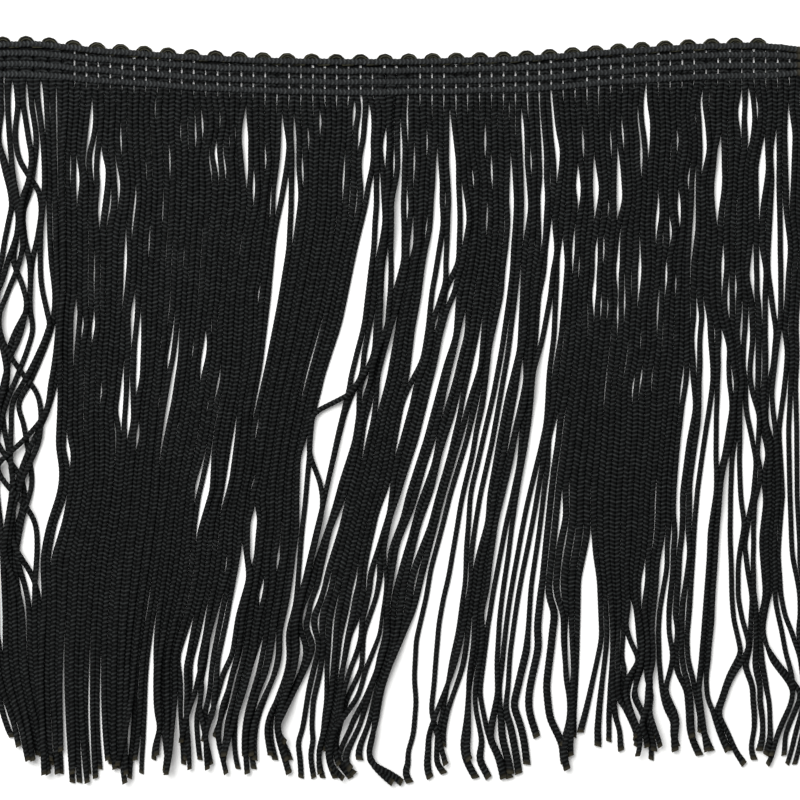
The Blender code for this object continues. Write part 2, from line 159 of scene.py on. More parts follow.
@dataclass(frozen=True)
class TrimFrame:
    """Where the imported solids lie, read in the trim's own millimetres.

    origin_place and origin_up are the place and height of the frame's origin.
    """

    nodes: dict[str, bpy.types.Object]
    origin_place: float = 86.519
    origin_up: float = -69.164
    strip_edge: float = 1.75
    heading_top: float = 6.4
    level_rise: float = 5.0
    ridge_heights: tuple[float, ...] = (0.9, 2.1)
    weld_digits: int = 3
    station_digits: int = 2
    slack: float = 0.02

    def corners(self, node: str) -> tuple[np.ndarray, np.ndarray]:
        """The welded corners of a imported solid, and its edges.

        Args:
            node: The solid's name.

        Returns:
            Corners as (place, up, height), and pairs of corner numbers.
        """
        mesh = self.nodes[node].data
        points = np.empty(len(mesh.vertices) * 3)
        mesh.vertices.foreach_get("co", points)
        points = points.reshape(-1, 3) / MM
        points[:, 0] += self.origin_place
        points[:, 1] += self.origin_up
        ends = np.empty(len(mesh.edges) * 2, int)
        mesh.edges.foreach_get("vertices", ends)
        _, first, index = np.unique(
            np.round(points, self.weld_digits), axis=0, return_index=True, return_inverse=True
        )
        ends = np.unique(np.sort(index.reshape(-1)[ends].reshape(-1, 2), axis=1), axis=0)
        return points[first], ends

    def strand_ridges(self, node: str) -> list[np.ndarray]:
        """The line down each strand of one comb, from its root to its cut end.

        Args:
            node: The comb's name.

        Returns:
            For each strand from left to right, its points as (place, up).
        """
        points, ends = self.corners(node)
        ridge = np.isclose(points[:, 2:3], self.ridge_heights, atol=self.slack).any(axis=1)
        below: dict[int, int] = {}
        fed: set[int] = set()
        for a, b in ends[ridge[ends].all(axis=1)]:
            high, low = (a, b) if points[a, 1] > points[b, 1] else (b, a)
            drop = points[high, 1] - points[low, 1]
            if drop > self.level_rise / 2 and (
                high not in below or points[low, 1] < points[below[high], 1]
            ):
                below[high] = low
                fed.add(low)
        lines = []
        for root in (corner for corner in below if corner not in fed):
            line = [root]
            while line[-1] in below:
                line.append(below[line[-1]])
            lines.append(points[line, :2])
        return sorted(lines, key=lambda line: line[0, 0])

    def lie(self) -> tuple[np.ndarray, np.ndarray, np.ndarray]:
        """The heading's stations, from one end of the band to the other.

        Returns:
            Their places, and the band's lower and upper edge at each.
        """
        points, _ = self.corners("heading")
        places = np.unique(np.round(points[:, 0], self.station_digits))
        edges = [points[np.abs(points[:, 0] - place) < self.slack, 1] for place in places]
        low = np.array([edge.min() for edge in edges])
        high = np.array([edge.max() for edge in edges])
        return places, low, high

    def across(self, place: np.ndarray, height: np.ndarray | float) -> np.ndarray:
        """How far above the hem line a height on the heading lies.

        Args:
            place: Places along the trim.
            height: Heights above the heading's lower edge.

        Returns:
            The distances above the hem line.
        """
        places, low, high = self.lie()
        bottom = curve_through(places, low, place)
        top = curve_through(places, high, place)
        share = (height - self.strip_edge) / (self.heading_top - self.strip_edge)
        return bottom + share * (top - bottom)

    def to_world(self, points: np.ndarray) -> np.ndarray:
        """Points as (place, up, height) in millimetres, turned into metres in the frame."""
        return (points - np.array([self.origin_place, self.origin_up, 0.0])) * MM


# ------------------------------------------------------------------ the lie of the strands


@dataclass(frozen=True)
class Stray:
    """A loose strand that lies across its neighbours, by points as (column, row) of the layout grid.

    Where beside is given, it hugs those strands above and below its route.
    """

    strand: int
    route: tuple[tuple[float, float], ...]
    beside: tuple[int, int] | None = None


STRAYS = (
    Stray(0, (
        (-12, 560), (-12, 600), (-8, 640), (-5, 673), (-2, 690), (2, 708), (6, 722), (12, 736),
        (20, 747), (25, 753),
    )),
    Stray(1, (
        (-4, 120), (0, 145), (5, 160), (13, 190), (18.5, 220), (16, 242), (14, 262), (22, 283),
        (27.5, 302), (24.5, 320), (18.5, 340), (10.5, 358), (6, 375), (-3, 412),
    )),
    Stray(2, (
        (2, 110), (-1, 140), (5, 170), (11, 195), (12, 205), (9.3, 220), (4.8, 240), (1.5, 262),
        (-2, 275), (-6, 320), (-8, 560), (-3, 630), (3, 668), (9, 692), (13, 705), (23, 730),
    )),
    Stray(3, (
        (8.5, 120), (10, 140), (13, 170), (18, 200), (20.5, 220), (16, 240), (8.5, 260),
        (2.5, 280), (-2, 292),
    )),
    Stray(4, (
        (18, 105), (15.8, 140), (20, 160), (32, 180), (38, 190), (41, 202), (38, 235),
        (32.5, 260), (30, 300),
    )),
    Stray(5, (
        (23.5, 105), (29, 140), (32, 155), (29.5, 180), (23, 200), (22, 225), (23.5, 240),
        (18, 268), (8, 292), (0, 320), (2.5, 338), (11, 355), (22, 372), (36, 391),
        (41.5, 415), (41, 430),
    )),
    Stray(6, (
        (32, 105), (36.5, 140), (34, 168), (30.5, 190), (23.5, 212), (25, 237), (30, 262),
        (31, 310), (32.5, 330), (28, 348), (19, 372), (12, 390), (4, 412), (-3, 440),
    )),
    Stray(7, (
        (38.5, 105), (43, 140), (45, 180), (41, 240), (42, 285), (48, 315), (50, 323),
        (47, 335), (38, 355), (27, 378), (14, 400), (11.5, 430), (12.3, 470), (14, 485),
        (9.5, 515), (5.5, 545),
    )),
    Stray(8, (
        (47, 105), (48.5, 140), (51.5, 260), (55, 300), (53, 320), (40, 360), (29, 384),
        (19, 404), (23.5, 424), (28, 450), (31.7, 485), (23.5, 515), (17.6, 545),
    )),
    Stray(9, (
        (53, 105), (54, 140), (57, 260), (58, 330), (52, 380), (42, 420), (30, 434),
        (18, 446), (5, 458), (-1, 465),
    )),
    Stray(10, (
        (60, 105), (62, 260), (62, 330), (56, 380), (46, 415), (38, 432), (29, 451),
        (21.7, 470), (14.5, 500), (13, 530),
    )),
    Stray(65, (
        (379, 335), (376.5, 350), (372.7, 361), (366.5, 370.5), (360, 379), (352, 390.5),
        (345, 397), (335, 402), (325, 407), (317, 411.5), (312.7, 418), (311, 427), (310, 440),
    ), beside=(66, 63)),
)

# Openings between the combed strands, each by points down its middle as (column, row, width), in
# squares of the layout grid
OPENINGS = (
    ((645, 88, 2), (645, 104, 3.4), (647, 121, 5.6), (649, 159, 0)),
    ((700, 90, 1.4), (703, 128, 3.5), (705, 150, 4.1), (701, 177, 0)),
    ((749, 90, 1.5), (749.5, 120, 5.2), (749, 155, 0)),
    ((551, 92, 1), (554.5, 133, 2.8), (558, 151, 5), (557, 189, 0)),
    ((370.5, 94, 1), (369, 130, 5.3), (367, 155, 4.3), (363.5, 203, 0)),
    ((400, 103, 0), (401, 148, 2.4), (400.5, 172, 1.5), (397.3, 201, 6.8), (397.2, 259, 8.1),
     (392.5, 291, 0)),
    ((245.5, 105, 0), (244, 137, 7), (246.5, 173, 2.7), (247, 192, 0)),
    ((521, 105, 0), (522.5, 126, 2.8), (524.3, 168, 1.8), (526.8, 207, 4.4), (523, 246, 0)),
    ((787.3, 105, 0), (789.5, 133, 5), (789.3, 182, 2.4), (789.5, 208, 0)),
    ((449.4, 107, 0), (452.4, 162, 7), (453, 186, 5.4), (454.3, 215, 7.2), (451.7, 264, 7.3),
     (448, 277, 0)),
    ((293.8, 110, 0), (294.5, 135, 3.1), (295.4, 165, 1.5), (296, 197, 4.6), (290.7, 256, 0)),
    ((281.8, 112, 0), (284.5, 145, 5.9), (278.3, 194, 4), (276.3, 218, 0)),
    ((388.2, 114, 0), (385, 146, 6.2), (387, 175, 1.2), (388.3, 202, 0)),
    ((233.3, 117, 0), (233.5, 132, 3), (232.7, 172, 0)),
    ((775.7, 127, 0), (774, 154, 3.5), (775, 180, 2.1), (774.3, 232, 6), (773.4, 270, 7.8),
     (777.7, 323, 0)),
    ((763.8, 134, 0), (762, 168, 7.4), (759.3, 204, 2.1), (757.8, 230, 0)),
    ((719, 136, 0), (718.4, 178, 7.8), (717.5, 191, 7.8), (716.5, 228, 0)),
    ((541.8, 138, 0), (543, 178, 2), (542.3, 198, 5.3), (542.5, 228, 2.8), (542, 258, 0)),
    ((436.3, 140, 0), (437.3, 185, 4.4), (436.3, 224, 7.8), (429.2, 272, 7.3), (425, 297, 7.8),
     (420, 330, 10.6), (415.7, 360, 8.2), (407.3, 385, 0)),
    ((88, 148, 0), (88.3, 162, 3), (89, 181, 0)),
    ((617.8, 148, 0), (618.4, 167, 3.4), (619, 199, 6.2), (616, 222, 0)),
    ((510.8, 149, 0), (511.5, 201, 5), (511.8, 222, 2.7), (504.9, 297, 4.1), (495.5, 348, 8.4),
     (487.4, 402, 4), (476.3, 452, 2), (466, 497, 2), (461, 547, 7.5), (457.3, 584, 12.7),
     (447.3, 624, 17.7), (440.8, 662, 16.3), (432, 712, 17.5), (428.5, 737, 7), (427, 765, 4)),
    ((593.3, 151, 0), (596.1, 189, 6.5), (594.2, 222, 0)),
    ((77.5, 152, 0), (78.5, 180, 3.5), (77, 202, 0)),
    ((103, 153, 0), (105.2, 167, 5.5), (99.8, 210, 4.3), (99.3, 229, 0)),
    ((115.3, 158, 0), (119, 182, 3.2), (118.5, 220, 0)),
    ((696.3, 158, 0), (692.8, 230, 3.5), (690, 262, 1.5), (687.7, 325, 0)),
    ((254, 163, 0), (254, 187, 3.3), (254.2, 217, 0)),
    ((577.7, 163, 0), (578, 187, 5), (579.5, 210, 0)),
    ((379.8, 164, 0), (381, 202, 2.2), (380.5, 222, 4.8), (376.6, 259, 0)),
    ((372.5, 170, 0), (371.5, 203, 4.9), (364.6, 247, 13.5), (352.5, 322, 20), (337.2, 377, 24.4),
     (328.4, 414, 25.7), (322.2, 452, 20.3), (314, 507, 13.1), (307.8, 542, 8.2), (299.5, 592, 0)),
    ((289, 172, 0), (285, 215, 7.5), (281.5, 245, 11), (274.5, 300, 7.6), (264, 365, 3),
     (247.7, 443, 0)),
    ((460.8, 180, 0), (464.4, 223, 3.6), (460.8, 250, 0)),
    ((679.2, 187, 0), (678.6, 207, 3.1), (679.5, 233, 0)),
    ((659.5, 190, 0), (657.5, 217, 3.3), (654.1, 246, 0)),
    ((782.3, 202, 0), (785.3, 248, 5.1), (784.1, 280, 1.9), (784.7, 315, 0)),
    ((413.2, 208, 0), (411.2, 247, 3.8), (407.7, 261, 0)),
    ((550.5, 210, 0), (551, 252, 5.9), (548.3, 272, 4.1), (543.9, 297, 6.5), (536.2, 353, 0)),
    ((126.3, 222, 0), (125.5, 260, 3.4), (122.2, 321, 0)),
    ((620, 222, 0), (617.5, 268, 3.1), (614.6, 285, 0)),
    ((444.7, 229, 0), (438.5, 285, 7.2), (431.3, 318, 0)),
    ((639.8, 229, 0), (639.5, 272, 3.1), (637, 317, 0)),
    ((597, 236, 0), (596.4, 248, 3), (595, 279, 2), (593.8, 292, 3.9), (593, 317, 0)),
    ((562.2, 238, 0), (562.3, 262, 5.3), (558, 333, 2.1), (549.3, 392, 0)),
    ((723, 240, 0), (722.5, 265, 3.3), (721.3, 300, 0)),
    ((752, 241, 0), (751, 276, 5.4), (752.4, 300, 0)),
    ((388.5, 250, 0), (385.8, 290, 3.2), (382, 327, 6.5), (378, 343, 0)),
    ((759.8, 250, 0), (761, 269, 4.4), (760.8, 321, 0)),
    ((522, 259, 0), (518, 310, 3.2), (514, 350, 6.1), (503.7, 396, 2.5), (496, 440, 1.6),
     (485.2, 494, 4.1),
     (482, 522, 6.9), (472, 570, 0)),
    ((453.5, 279, .5), (449.3, 291, 4.8), (446.5, 304, 0)),
    ((513, 284, 0), (504.2, 353, 1.9), (497.4, 390, 1.8), (487, 440, 4.1), (477, 486, 5),
     (470.8, 544, 0)),
    ((136, 290, 0), (133, 311, 4), (131.5, 353, 0)),
    ((455.8, 295, 0), (451.5, 312, 6), (448, 336, 11), (440, 365, 6.8), (420.8, 440, 6),
     (402, 497, 6.2),
     (395.5, 518, 8.5), (384, 560, 0)),
    ((552.7, 296, 0), (547.9, 340, 6), (540.3, 372, 11.5), (537.3, 425, 12.7), (526.2, 478, 10),
     (515.6, 532, 5.8),
     (504.5, 607, 2.8), (497, 668, 0)),
    ((77, 299, 0), (76, 312, 3.4), (72.6, 374, 0)),
    ((767.4, 300, 0), (770.6, 332, 6.3), (768.4, 383, 0)),
    ((466, 306, 0), (461.7, 334, 4.9), (452.5, 374, 2.8), (443.3, 411, 0)),
    ((708, 306, 0), (706.6, 352, 6.3), (705.8, 380, 9), (701.8, 424, 3.8), (694, 482, 4),
     (691.5, 527, 0)),
    ((748.7, 306, 0), (747.7, 341, 3.3), (744.6, 380, 0)),
    ((141.5, 308, 0), (139.3, 345, 4.1), (138.1, 378, 4.3), (137, 395, 0)),
    ((175.5, 308, 0), (168.8, 357, 3.4), (166.7, 374, 0)),
    ((398, 308, 0), (392.8, 334, 2.8), (383.3, 377, 6.2), (378, 412, 0)),
    ((439, 310, 0), (436, 323, 3), (433.3, 333, 0)),
    ((84.3, 312, 0), (83.9, 326, 3.1), (80.8, 345, 0)),
    ((94, 313, 0), (93.3, 327, 3.9), (91.3, 341, 0)),
    ((374, 316, 0), (369.4, 354, 4.7), (365.6, 368, 0)),
    ((482.5, 317, 0), (475.7, 365, 5.6), (468.5, 391, 3.2), (460.7, 421, 0)),
    ((180.7, 319, 0), (175.6, 364, 3.1), (168.8, 403, 4), (157.3, 470, 0)),
    ((208, 325, .5), (203.3, 356, 4.7), (199.2, 384, 0)),
    ((723, 326, 0), (724, 350, 6.8), (723.3, 365, 5), (724.6, 409, 9.8), (719.8, 456, 3.8),
     (718.7, 471, 0)),
    ((780.3, 326, 0), (781, 350, 6.2), (777.5, 393, 7.4), (776.5, 425, 0)),
    ((755.5, 328, 0), (753.2, 373, 3.8), (755.3, 397, 0)),
    ((364.5, 333, 0), (360, 353, 2), (356, 377, 5.7), (352.2, 387, 0)),
    ((522.6, 350, 0), (521.8, 381, 4.2), (508.8, 446, 1.9), (504.7, 469, 0)),
    ((124.7, 355, 0), (120.1, 411, 5), (121.3, 429, 0)),
    ((690, 371, 0), (688.9, 407, 8.8), (683.2, 441, 6.6), (677.7, 494, 3.7), (677.5, 515, 4.1),
     (678.3, 541, 0)),
    ((369.7, 372, 0), (366, 380, 4.3), (362.3, 398, 0)),
    ((787, 372, 0), (783.2, 433, 4.7), (785.9, 494, 2.4), (785, 557, 9.5), (789, 594, 13.1),
     (791.2, 616, 9.8),
     (794, 634, 0)),
    ((415.5, 376, 0), (406.7, 404, 6), (398, 442, 2.9), (393.8, 459, 0)),
    ((130.2, 382, 0), (129, 420, 4.5), (127, 443, 0)),
    ((462, 383, 0), (455.8, 415, 2.9), (444.5, 454, 6.2), (435.6, 490, 3.8), (424.5, 525, 6.9),
     (410, 570, 1.3),
     (401.7, 595, 0)),
    ((793.5, 386, 0), (792.6, 430, 3.2), (793.5, 500, 2), (794.7, 545, 3.1), (795.3, 572, 0)),
    ((746.7, 387, 0), (753.5, 415, 7.1), (754.8, 441, 0)),
    ((739.8, 388, 0), (742.5, 413, 2.2), (747.4, 461, 11.6), (746.4, 497, 7.5), (745.2, 517, 0)),
    ((356, 389, 0), (351.6, 414, 9.4), (346.3, 440, 12.5), (334, 482, 9.4), (325.3, 519, 6.9),
     (307.5, 581, 0)),
    ((714.7, 389, 0), (711.8, 418, 2.8), (706.4, 490, 14), (701.7, 532, 11), (700.4, 557, 11.5),
     (695.5, 637, 11),
     (695.6, 660, 7.5), (697.5, 679, 0)),
    ((768, 398, 0), (768.7, 422, 3.3), (773, 439, 0)),
    ((372.5, 400, 0), (368.3, 421, 4), (361, 459, 0)),
    ((472, 402, 0), (461, 447, 2.8), (445, 497, 1.9), (438, 527, 2.4), (427.5, 567, 2.5),
     (418.1, 612, 5.5),
     (408.5, 642, 11.9), (401.2, 672, 22.5), (397.5, 700, 33), (396, 765, 34)),
    ((558.3, 408, 0), (553.2, 440, 4.3), (550.8, 466, 1.8), (542.2, 532, 3.1), (536.1, 582, 4.8),
     (530.5, 640, 0)),
    ((237.5, 414, 0), (227.5, 479, 4.2), (218.5, 520, 0)),
    ((519.6, 416, 0), (514.2, 466, 5.2), (501, 522, 6.9), (490.4, 587, 2.1), (484.8, 613, 4.3),
     (483.3, 630, 0)),
    ((474.5, 420, 0), (466.3, 459, 5.4), (453.3, 507, 7.1), (439.2, 572, 13.4), (434.2, 597, 11.5),
     (426, 640, 15),
     (422.2, 680, 9.4), (420.5, 705, 0)),
    ((308, 431, 0), (303.9, 457, 6.4), (301.5, 500, 4), (299.8, 528, .8), (290.5, 606, 3.8),
     (281, 643, 0)),
    ((762.1, 431, 0), (762.2, 456, 6.1), (763.1, 466, 0)),
    ((437.7, 433, 0), (430, 463, 4.7), (415.4, 507, 1.5), (403.3, 542, 6.3), (391.4, 590, 1.6),
     (383, 632, 0)),
    ((737.8, 433, 0), (735.2, 482, 4.2), (737, 526, 9.1), (733.5, 565, 1.6), (737.8, 615, 3),
     (744.5, 650, 4.8)),
    ((66, 434, 0), (68.5, 451, 4.8), (71.3, 466, 0)),
    ((728, 447, 0), (725.3, 482, 6.3), (723, 532, 9), (722.5, 620, 17), (725.6, 650, 28),
     (717.5, 674, 18.8),
     (714, 700, 9.4), (714.5, 710, 0)),
    ((206, 450, 0), (197.5, 486, 3.5), (195.3, 499, 0)),
    ((541.5, 450, 0), (530.3, 507, 4.4), (518.2, 569, 3.5), (504.4, 662, 3.7), (501.5, 687, 5.6),
     (499.5, 718, 0)),
    ((212, 453, 0), (206.3, 491, 7.5), (194.5, 541, 0)),
    ((542.7, 472, 0), (535.6, 532, 3.7), (524.8, 594, 7), (518.3, 650, 10.4), (506.5, 713, 0)),
    ((262.3, 475, 0), (257.5, 492, 3.2), (254.5, 501, 0)),
    ((562, 478, 0), (561, 516, 4.6), (555, 550, 1), (549, 603, 0)),
    ((391, 480, 0), (383.5, 513, 8), (372.2, 553, 4.4), (362, 591, 0)),
    ((761.5, 484, 0), (759.5, 502, 6.4), (758.1, 542, 2.2), (759, 592, 6.9), (760.3, 613, 0)),
    ((68.7, 492, 0), (60, 523, 5), (48.5, 571, 0)),
    ((346.5, 496, 0), (335.6, 528, 6), (320.3, 588, 1.9), (315.5, 605, 4.8), (311, 618, 0)),
    ((511.5, 503, 0), (504, 557, 3.4), (493.1, 619, 5), (488, 662, 8.5), (485.9, 692, 14.4),
     (481.5, 745, 0)),
    ((257, 509, 0), (253.7, 518, 7), (251.7, 557, 4.6), (250.3, 567, 0)),
    ((749.5, 520, 0), (748, 545, 4), (750.5, 566, 0)),
    ((591, 527, 0), (589, 552, 6.5), (588, 580, 16), (588.8, 637, 20.3), (583.7, 675, 15.3),
     (577.5, 735, 8.3),
     (580, 765, 14)),
    ((685.4, 528, 0), (684.5, 553, 5), (679, 613, 0)),
    ((670.8, 530, 0), (670.2, 570, 1), (664.5, 610, 3.8), (667.5, 658, 8.8), (665.2, 685, 0)),
    ((664, 535, 0), (662, 565, 4), (658, 605, 0)),
    ((243, 542, 0), (240.8, 578, 10), (231, 617, 5.8), (224, 655, 8), (217, 678, 0)),
    ((742.7, 554, 0), (744.7, 597, 9.9), (749.5, 635, 0)),
    ((645.2, 560, 0), (643.3, 580, 4), (639.5, 624, 0)),
    ((386.9, 568, 0), (378, 612, 6.5), (372, 634, 12), (364.9, 667, 2.5), (354, 698, 9.6),
     (343, 720, 0)),
    ((266, 572, 0), (260.8, 593, 4.3), (258.5, 611, 0)),
    ((336, 576, 0), (333, 590, 3.3), (328, 598, 0)),
    ((375.6, 580, 0), (373.2, 594, 3.5), (364.8, 623, 0)),
    ((312.7, 584, 0), (305.7, 611, 3.8), (299.5, 641, 0)),
    ((770.4, 593, 0), (772.6, 630, 14), (783, 660, 13.5), (797, 684, 0)),
    ((632.3, 598, 0), (630.7, 625, 8.1), (638, 655, 0)),
    ((560.5, 603, 0), (556.2, 642, 7), (552.8, 687, 20), (552.6, 718, 22), (550.5, 748, 0)),
    ((567, 603, 0), (566.4, 637, 2.7), (568.2, 672, 3.8), (567.2, 691, 0)),
    ((671.5, 610, 0), (673.7, 630, 4.5), (673.8, 648, 0)),
    ((193.5, 614, 0), (183, 656, 4.5), (181, 670, 0)),
    ((359.5, 615, 0), (355, 638, 7.5), (342.3, 682, 0)),
    ((782.5, 618, 0), (793, 655, 4.5), (799, 672, 0)),
    ((207, 630, 0), (199.2, 665, 5), (198, 684, 0)),
    ((324.5, 630, 0), (312.8, 667, 3.1), (304.6, 690, 8.1), (292.4, 730, 20.4), (298, 747, 0)),
    ((654.5, 634, 0), (655.6, 660, 5.5), (658, 678, 0)),
    ((621.9, 636, 0), (629, 660, 13), (627.3, 673, 0)),
    ((763.7, 644, 0), (768.5, 660, 9), (783, 692, 28.5), (780.4, 735, 7), (780, 765, 9.9)),
    ((360.6, 651, 0), (355, 668, 6.3), (341, 705, 0)),
    ((375.6, 656, 0), (372.5, 670, 3.8), (366.3, 686, 0)),
    ((741, 662, 0), (739, 685, 22), (734, 714, 32.5), (733.4, 744, 10.6), (730, 757, 3)),
    ((326, 668, 0), (320.8, 702, 6.6), (316.7, 732, 4.6), (317, 744, 0)),
    ((465, 669, 0), (456.5, 712, 9.5), (454.8, 732, 9.2), (452.5, 760, 0)),
    ((641.9, 669, 0), (641.6, 697, 12.5), (642, 710, 0)),
    ((676.9, 669, 0), (678.7, 690, 16), (686, 722, 0)),
    ((762.5, 683, 0), (763.7, 700, 4.5), (770.5, 740, 0)),
    ((229, 687, 0), (222.5, 704, 5), (217.5, 730, 2), (215.3, 750, 0)),
    ((371.9, 688, 0), (358.4, 724, 8.1), (340, 765, 8)),
    ((198.5, 690, 0), (196.3, 701, 4.5), (192, 717, 0)),
    ((610.5, 698, 0), (618.5, 720, 16.7), (620, 765, 16)),
    ((210.5, 701, 0), (210, 711, 5), (208.7, 721, 0)),
    ((663.7, 707, 0), (664.5, 722, 13), (665.5, 737, 0)),
    ((472.2, 712, 0), (473, 742, 7.9), (470.5, 765, 0)),
    ((598.1, 716, 0), (599.3, 731, 4.5), (600, 742, 0)),
    ((153.5, 717, 0), (153, 726, 5.3), (153.5, 740, 0)),
    ((761, 718, 0), (762, 745, 7), (763.3, 760, 0)),
    ((308.7, 720, 0), (307.6, 742, 6), (307.5, 751, 0)),
    ((350, 720, 0), (345.5, 728, 5.6), (340.8, 742, 0)),
    ((226, 725, 0), (223, 738, 4.5), (222, 753, 0)),
    ((160.5, 727, 0), (160, 758, 6.5), (160, 769, 0)),
    ((631.2, 729, 0), (632.5, 735, 7.8), (631.5, 746, 0)),
    ((439.4, 732, 0), (436, 751, 7), (433, 765, 9.9)),
    ((418.7, 735, 0), (417, 752, 6.5), (418, 772, 2)),
)

# Thin slits between them, as (column, top, foot, width, lean) in the same squares: a slit is widest
# halfway down, and its foot is the lean further right than its top
SLITS = (
    (88, 149, 181, 2.8, 1), (120, 124, 157, 2, 2), (155, 92, 123, 1.8, 0), (180, 121, 142, 2, 1),
    (195, 115, 153, 2.6, 2), (202.5, 107, 148, 2, 0.5), (215, 140, 169, 3, 1),
    (221, 107, 133, 1.8, -0.5), (225, 151, 185, 2, 2.5), (233.5, 119, 160, 2.8, -1.5),
    (265, 141, 176, 2, 1.5), (308, 122, 153, 2, 1.5), (321, 108, 136, 2.6, -1),
    (345.5, 143, 216, 2.4, -4), (361.5, 107, 156, 3, -3), (357, 194, 221, 2, -2),
    (393.5, 147, 178, 2.2, 0), (407, 98, 148, 1.8, 1), (414.5, 142, 184, 2, -1),
    (406, 181, 231, 2.8, 0.5), (427, 124, 163, 2, 0.5), (428, 210, 247, 2, -4),
    (445, 184, 216, 2, 0.5), (472, 166, 191, 2.4, 2.5), (485, 119, 163, 2.6, 0),
    (491, 151, 191, 2.4, 1), (488, 194, 242, 2.4, -2.5), (530, 146, 177, 2, 2),
    (581.5, 122, 165, 2.8, 2.5), (610, 131, 153, 1.6, 1), (621, 118, 149, 2, 3),
    (640.5, 128, 183, 2.8, 0.5), (677, 126, 155, 2.2, 1.5), (694, 108, 131, 1.8, 3),
    (689, 165, 190, 1.8, -3), (609, 194, 223, 2.2, 0.5), (670, 214, 248, 2.4, 2),
    (574.5, 222, 280, 2.6, -3.5), (162, 332, 356, 1.8, -1), (193.5, 342, 360, 1.8, -1),
    (211, 317, 340, 1.6, -3), (222, 362, 403, 2.2, -7), (260.5, 282, 305, 2.2, -4.5),
    (209, 396, 414, 1.8, -3), (102.5, 380, 403, 2, -1), (160.5, 393, 412, 1.8, -3),
    (178.5, 420, 434, 1.6, -1), (138.5, 419, 452, 2.6, -2.5), (259.5, 415, 441, 1.8, -5),
    (227.5, 552, 579, 1.8, -2), (256, 472, 500, 2, -5), (261.5, 477, 502, 3, -6),
    (262.5, 506, 520, 2, 0), (280, 547, 571, 2.4, -3), (219, 477, 493, 1.6, -1),
    (335, 578, 600, 2.4, -6), (359, 568, 604, 2.4, -10), (261, 620, 645, 2.4, -3),
    (603.5, 231, 268, 2.2, 0.5), (625, 272, 331, 2.4, -1.5), (659, 278, 342, 2.4, -3),
    (665.5, 258, 293, 2.4, 1.5), (675, 270, 296, 1.6, 0),
    (695, 302, 362, 1.8, -4), (727.5, 281, 323, 2.2, 1),
    (736, 274, 299, 1.8, -0.5), (741, 310, 350, 2.6, -2), (601, 294, 314, 2, -1),
    (608.5, 301, 316, 1.8, 0), (617, 301, 323, 1.6, 0), (642, 367, 389, 2.2, -0.5),
    (633, 374, 401, 1.8, -2), (653, 358, 396, 1.8, -3), (641, 332, 350, 1.6, 0),
    (579.5, 247, 285, 1.6, -1), (731.5, 371, 394, 1.8, 1.5), (684, 358, 410, 2.2, -5),
)


@dataclass
class StrandLayout:
    """The combed strands as springs: each keeps near its guide, its neighbours and the openings.

    Rows are strands from left to right, and columns are levels from the top down.
    """

    guides: np.ndarray
    closed: np.ndarray
    hold: np.ndarray
    gap_pull: float = 1.0
    open_pull: float = 6.0
    centre_pull: float = 6.0
    stiffness: float = 7.0
    full_at: float = 0.4
    least_strength: float = 0.02
    turns: int = 160
    places: np.ndarray = field(init=False)
    room: np.ndarray = field(init=False)
    middle: np.ndarray = field(init=False)
    strength: np.ndarray = field(init=False)

    def __post_init__(self) -> None:
        """Starts with every gap closed."""
        gaps = (len(self.guides) - 1, self.guides.shape[1])
        self.places = self.guides.copy()
        self.room = np.zeros(gaps)
        self.middle = np.zeros(gaps)
        self.strength = np.zeros(gaps)

    def best_gap(self, levels: slice, middle: np.ndarray) -> int | None:
        """The nearest gap for an opening, in order with the openings beside it.

        Args:
            levels: The levels that the opening spans.
            middle: Its middle line at those levels.

        Returns:
            The gap's number, or None where every one is taken.
        """
        near = (self.places[1:, levels.start] + self.places[:-1, levels.start]) / 2
        taken = self.strength[:, levels] > 0
        first, last = 0, len(near) - 1
        for gap in np.flatnonzero(taken.any(axis=1)):
            shared = taken[gap]
            if (middle - self.middle[gap, levels])[shared].mean() > 0:
                first = max(first, gap + 1)
            else:
                last = min(last, gap - 1)
        if first > last:
            return None
        return first + int(np.abs(near[first : last + 1] - middle[0]).argmin())

    def open(self, levels: slice, middle: np.ndarray, room: np.ndarray) -> bool:
        """Opens the best gap along one parting.

        Args:
            levels: The levels that it spans.
            middle: Its middle line.
            room: Its width.

        Returns:
            Whether there was a gap for it.
        """
        gap = self.best_gap(levels, middle)
        if gap is None:
            return False
        self.middle[gap, levels] = middle
        self.room[gap, levels] = room
        full = np.minimum(room / self.full_at, 1)
        self.strength[gap, levels] = np.maximum(full, self.least_strength)
        return True

    def pull(
        self, places: np.ndarray, gap_pull: np.ndarray, centre_pull: np.ndarray
    ) -> np.ndarray:
        """How hard the springs pull strands that lie at given places.

        Args:
            places: The places, or a change of them.
            gap_pull: How firmly each gap holds its width.
            centre_pull: How firmly each gap keeps to its opening's middle.

        Returns:
            The pull on each strand at each level.
        """
        out = self.hold * places
        gap = gap_pull * (places[1:] - places[:-1])
        middle = centre_pull * (places[1:] + places[:-1]) / 4
        out[1:] += gap + middle
        out[:-1] += middle - gap
        bend = self.stiffness * (places[:, 2:] - 2 * places[:, 1:-1] + places[:, :-2])
        out[:, 2:] += bend
        out[:, 1:-1] -= 2 * bend
        out[:, :-2] += bend
        return out

    def settle(self) -> None:
        """Finds the places where the springs balance, by conjugate gradients."""
        gap_pull = self.gap_pull + (self.open_pull - self.gap_pull) * self.strength
        centre_pull = self.centre_pull * self.strength
        wanted = gap_pull * (self.closed + self.room)
        aimed = centre_pull * self.middle / 2
        target = self.hold * self.guides
        target[1:] += wanted + aimed
        target[:-1] += aimed - wanted
        left = target - self.pull(self.places, gap_pull, centre_pull)
        way = left.copy()
        size = (left * left).sum()
        for _ in range(self.turns):
            pulled = self.pull(way, gap_pull, centre_pull)
            share = size / (way * pulled).sum()
            self.places += share * way
            left -= share * pulled
            before, size = size, (left * left).sum()
            way = left + size / before * way


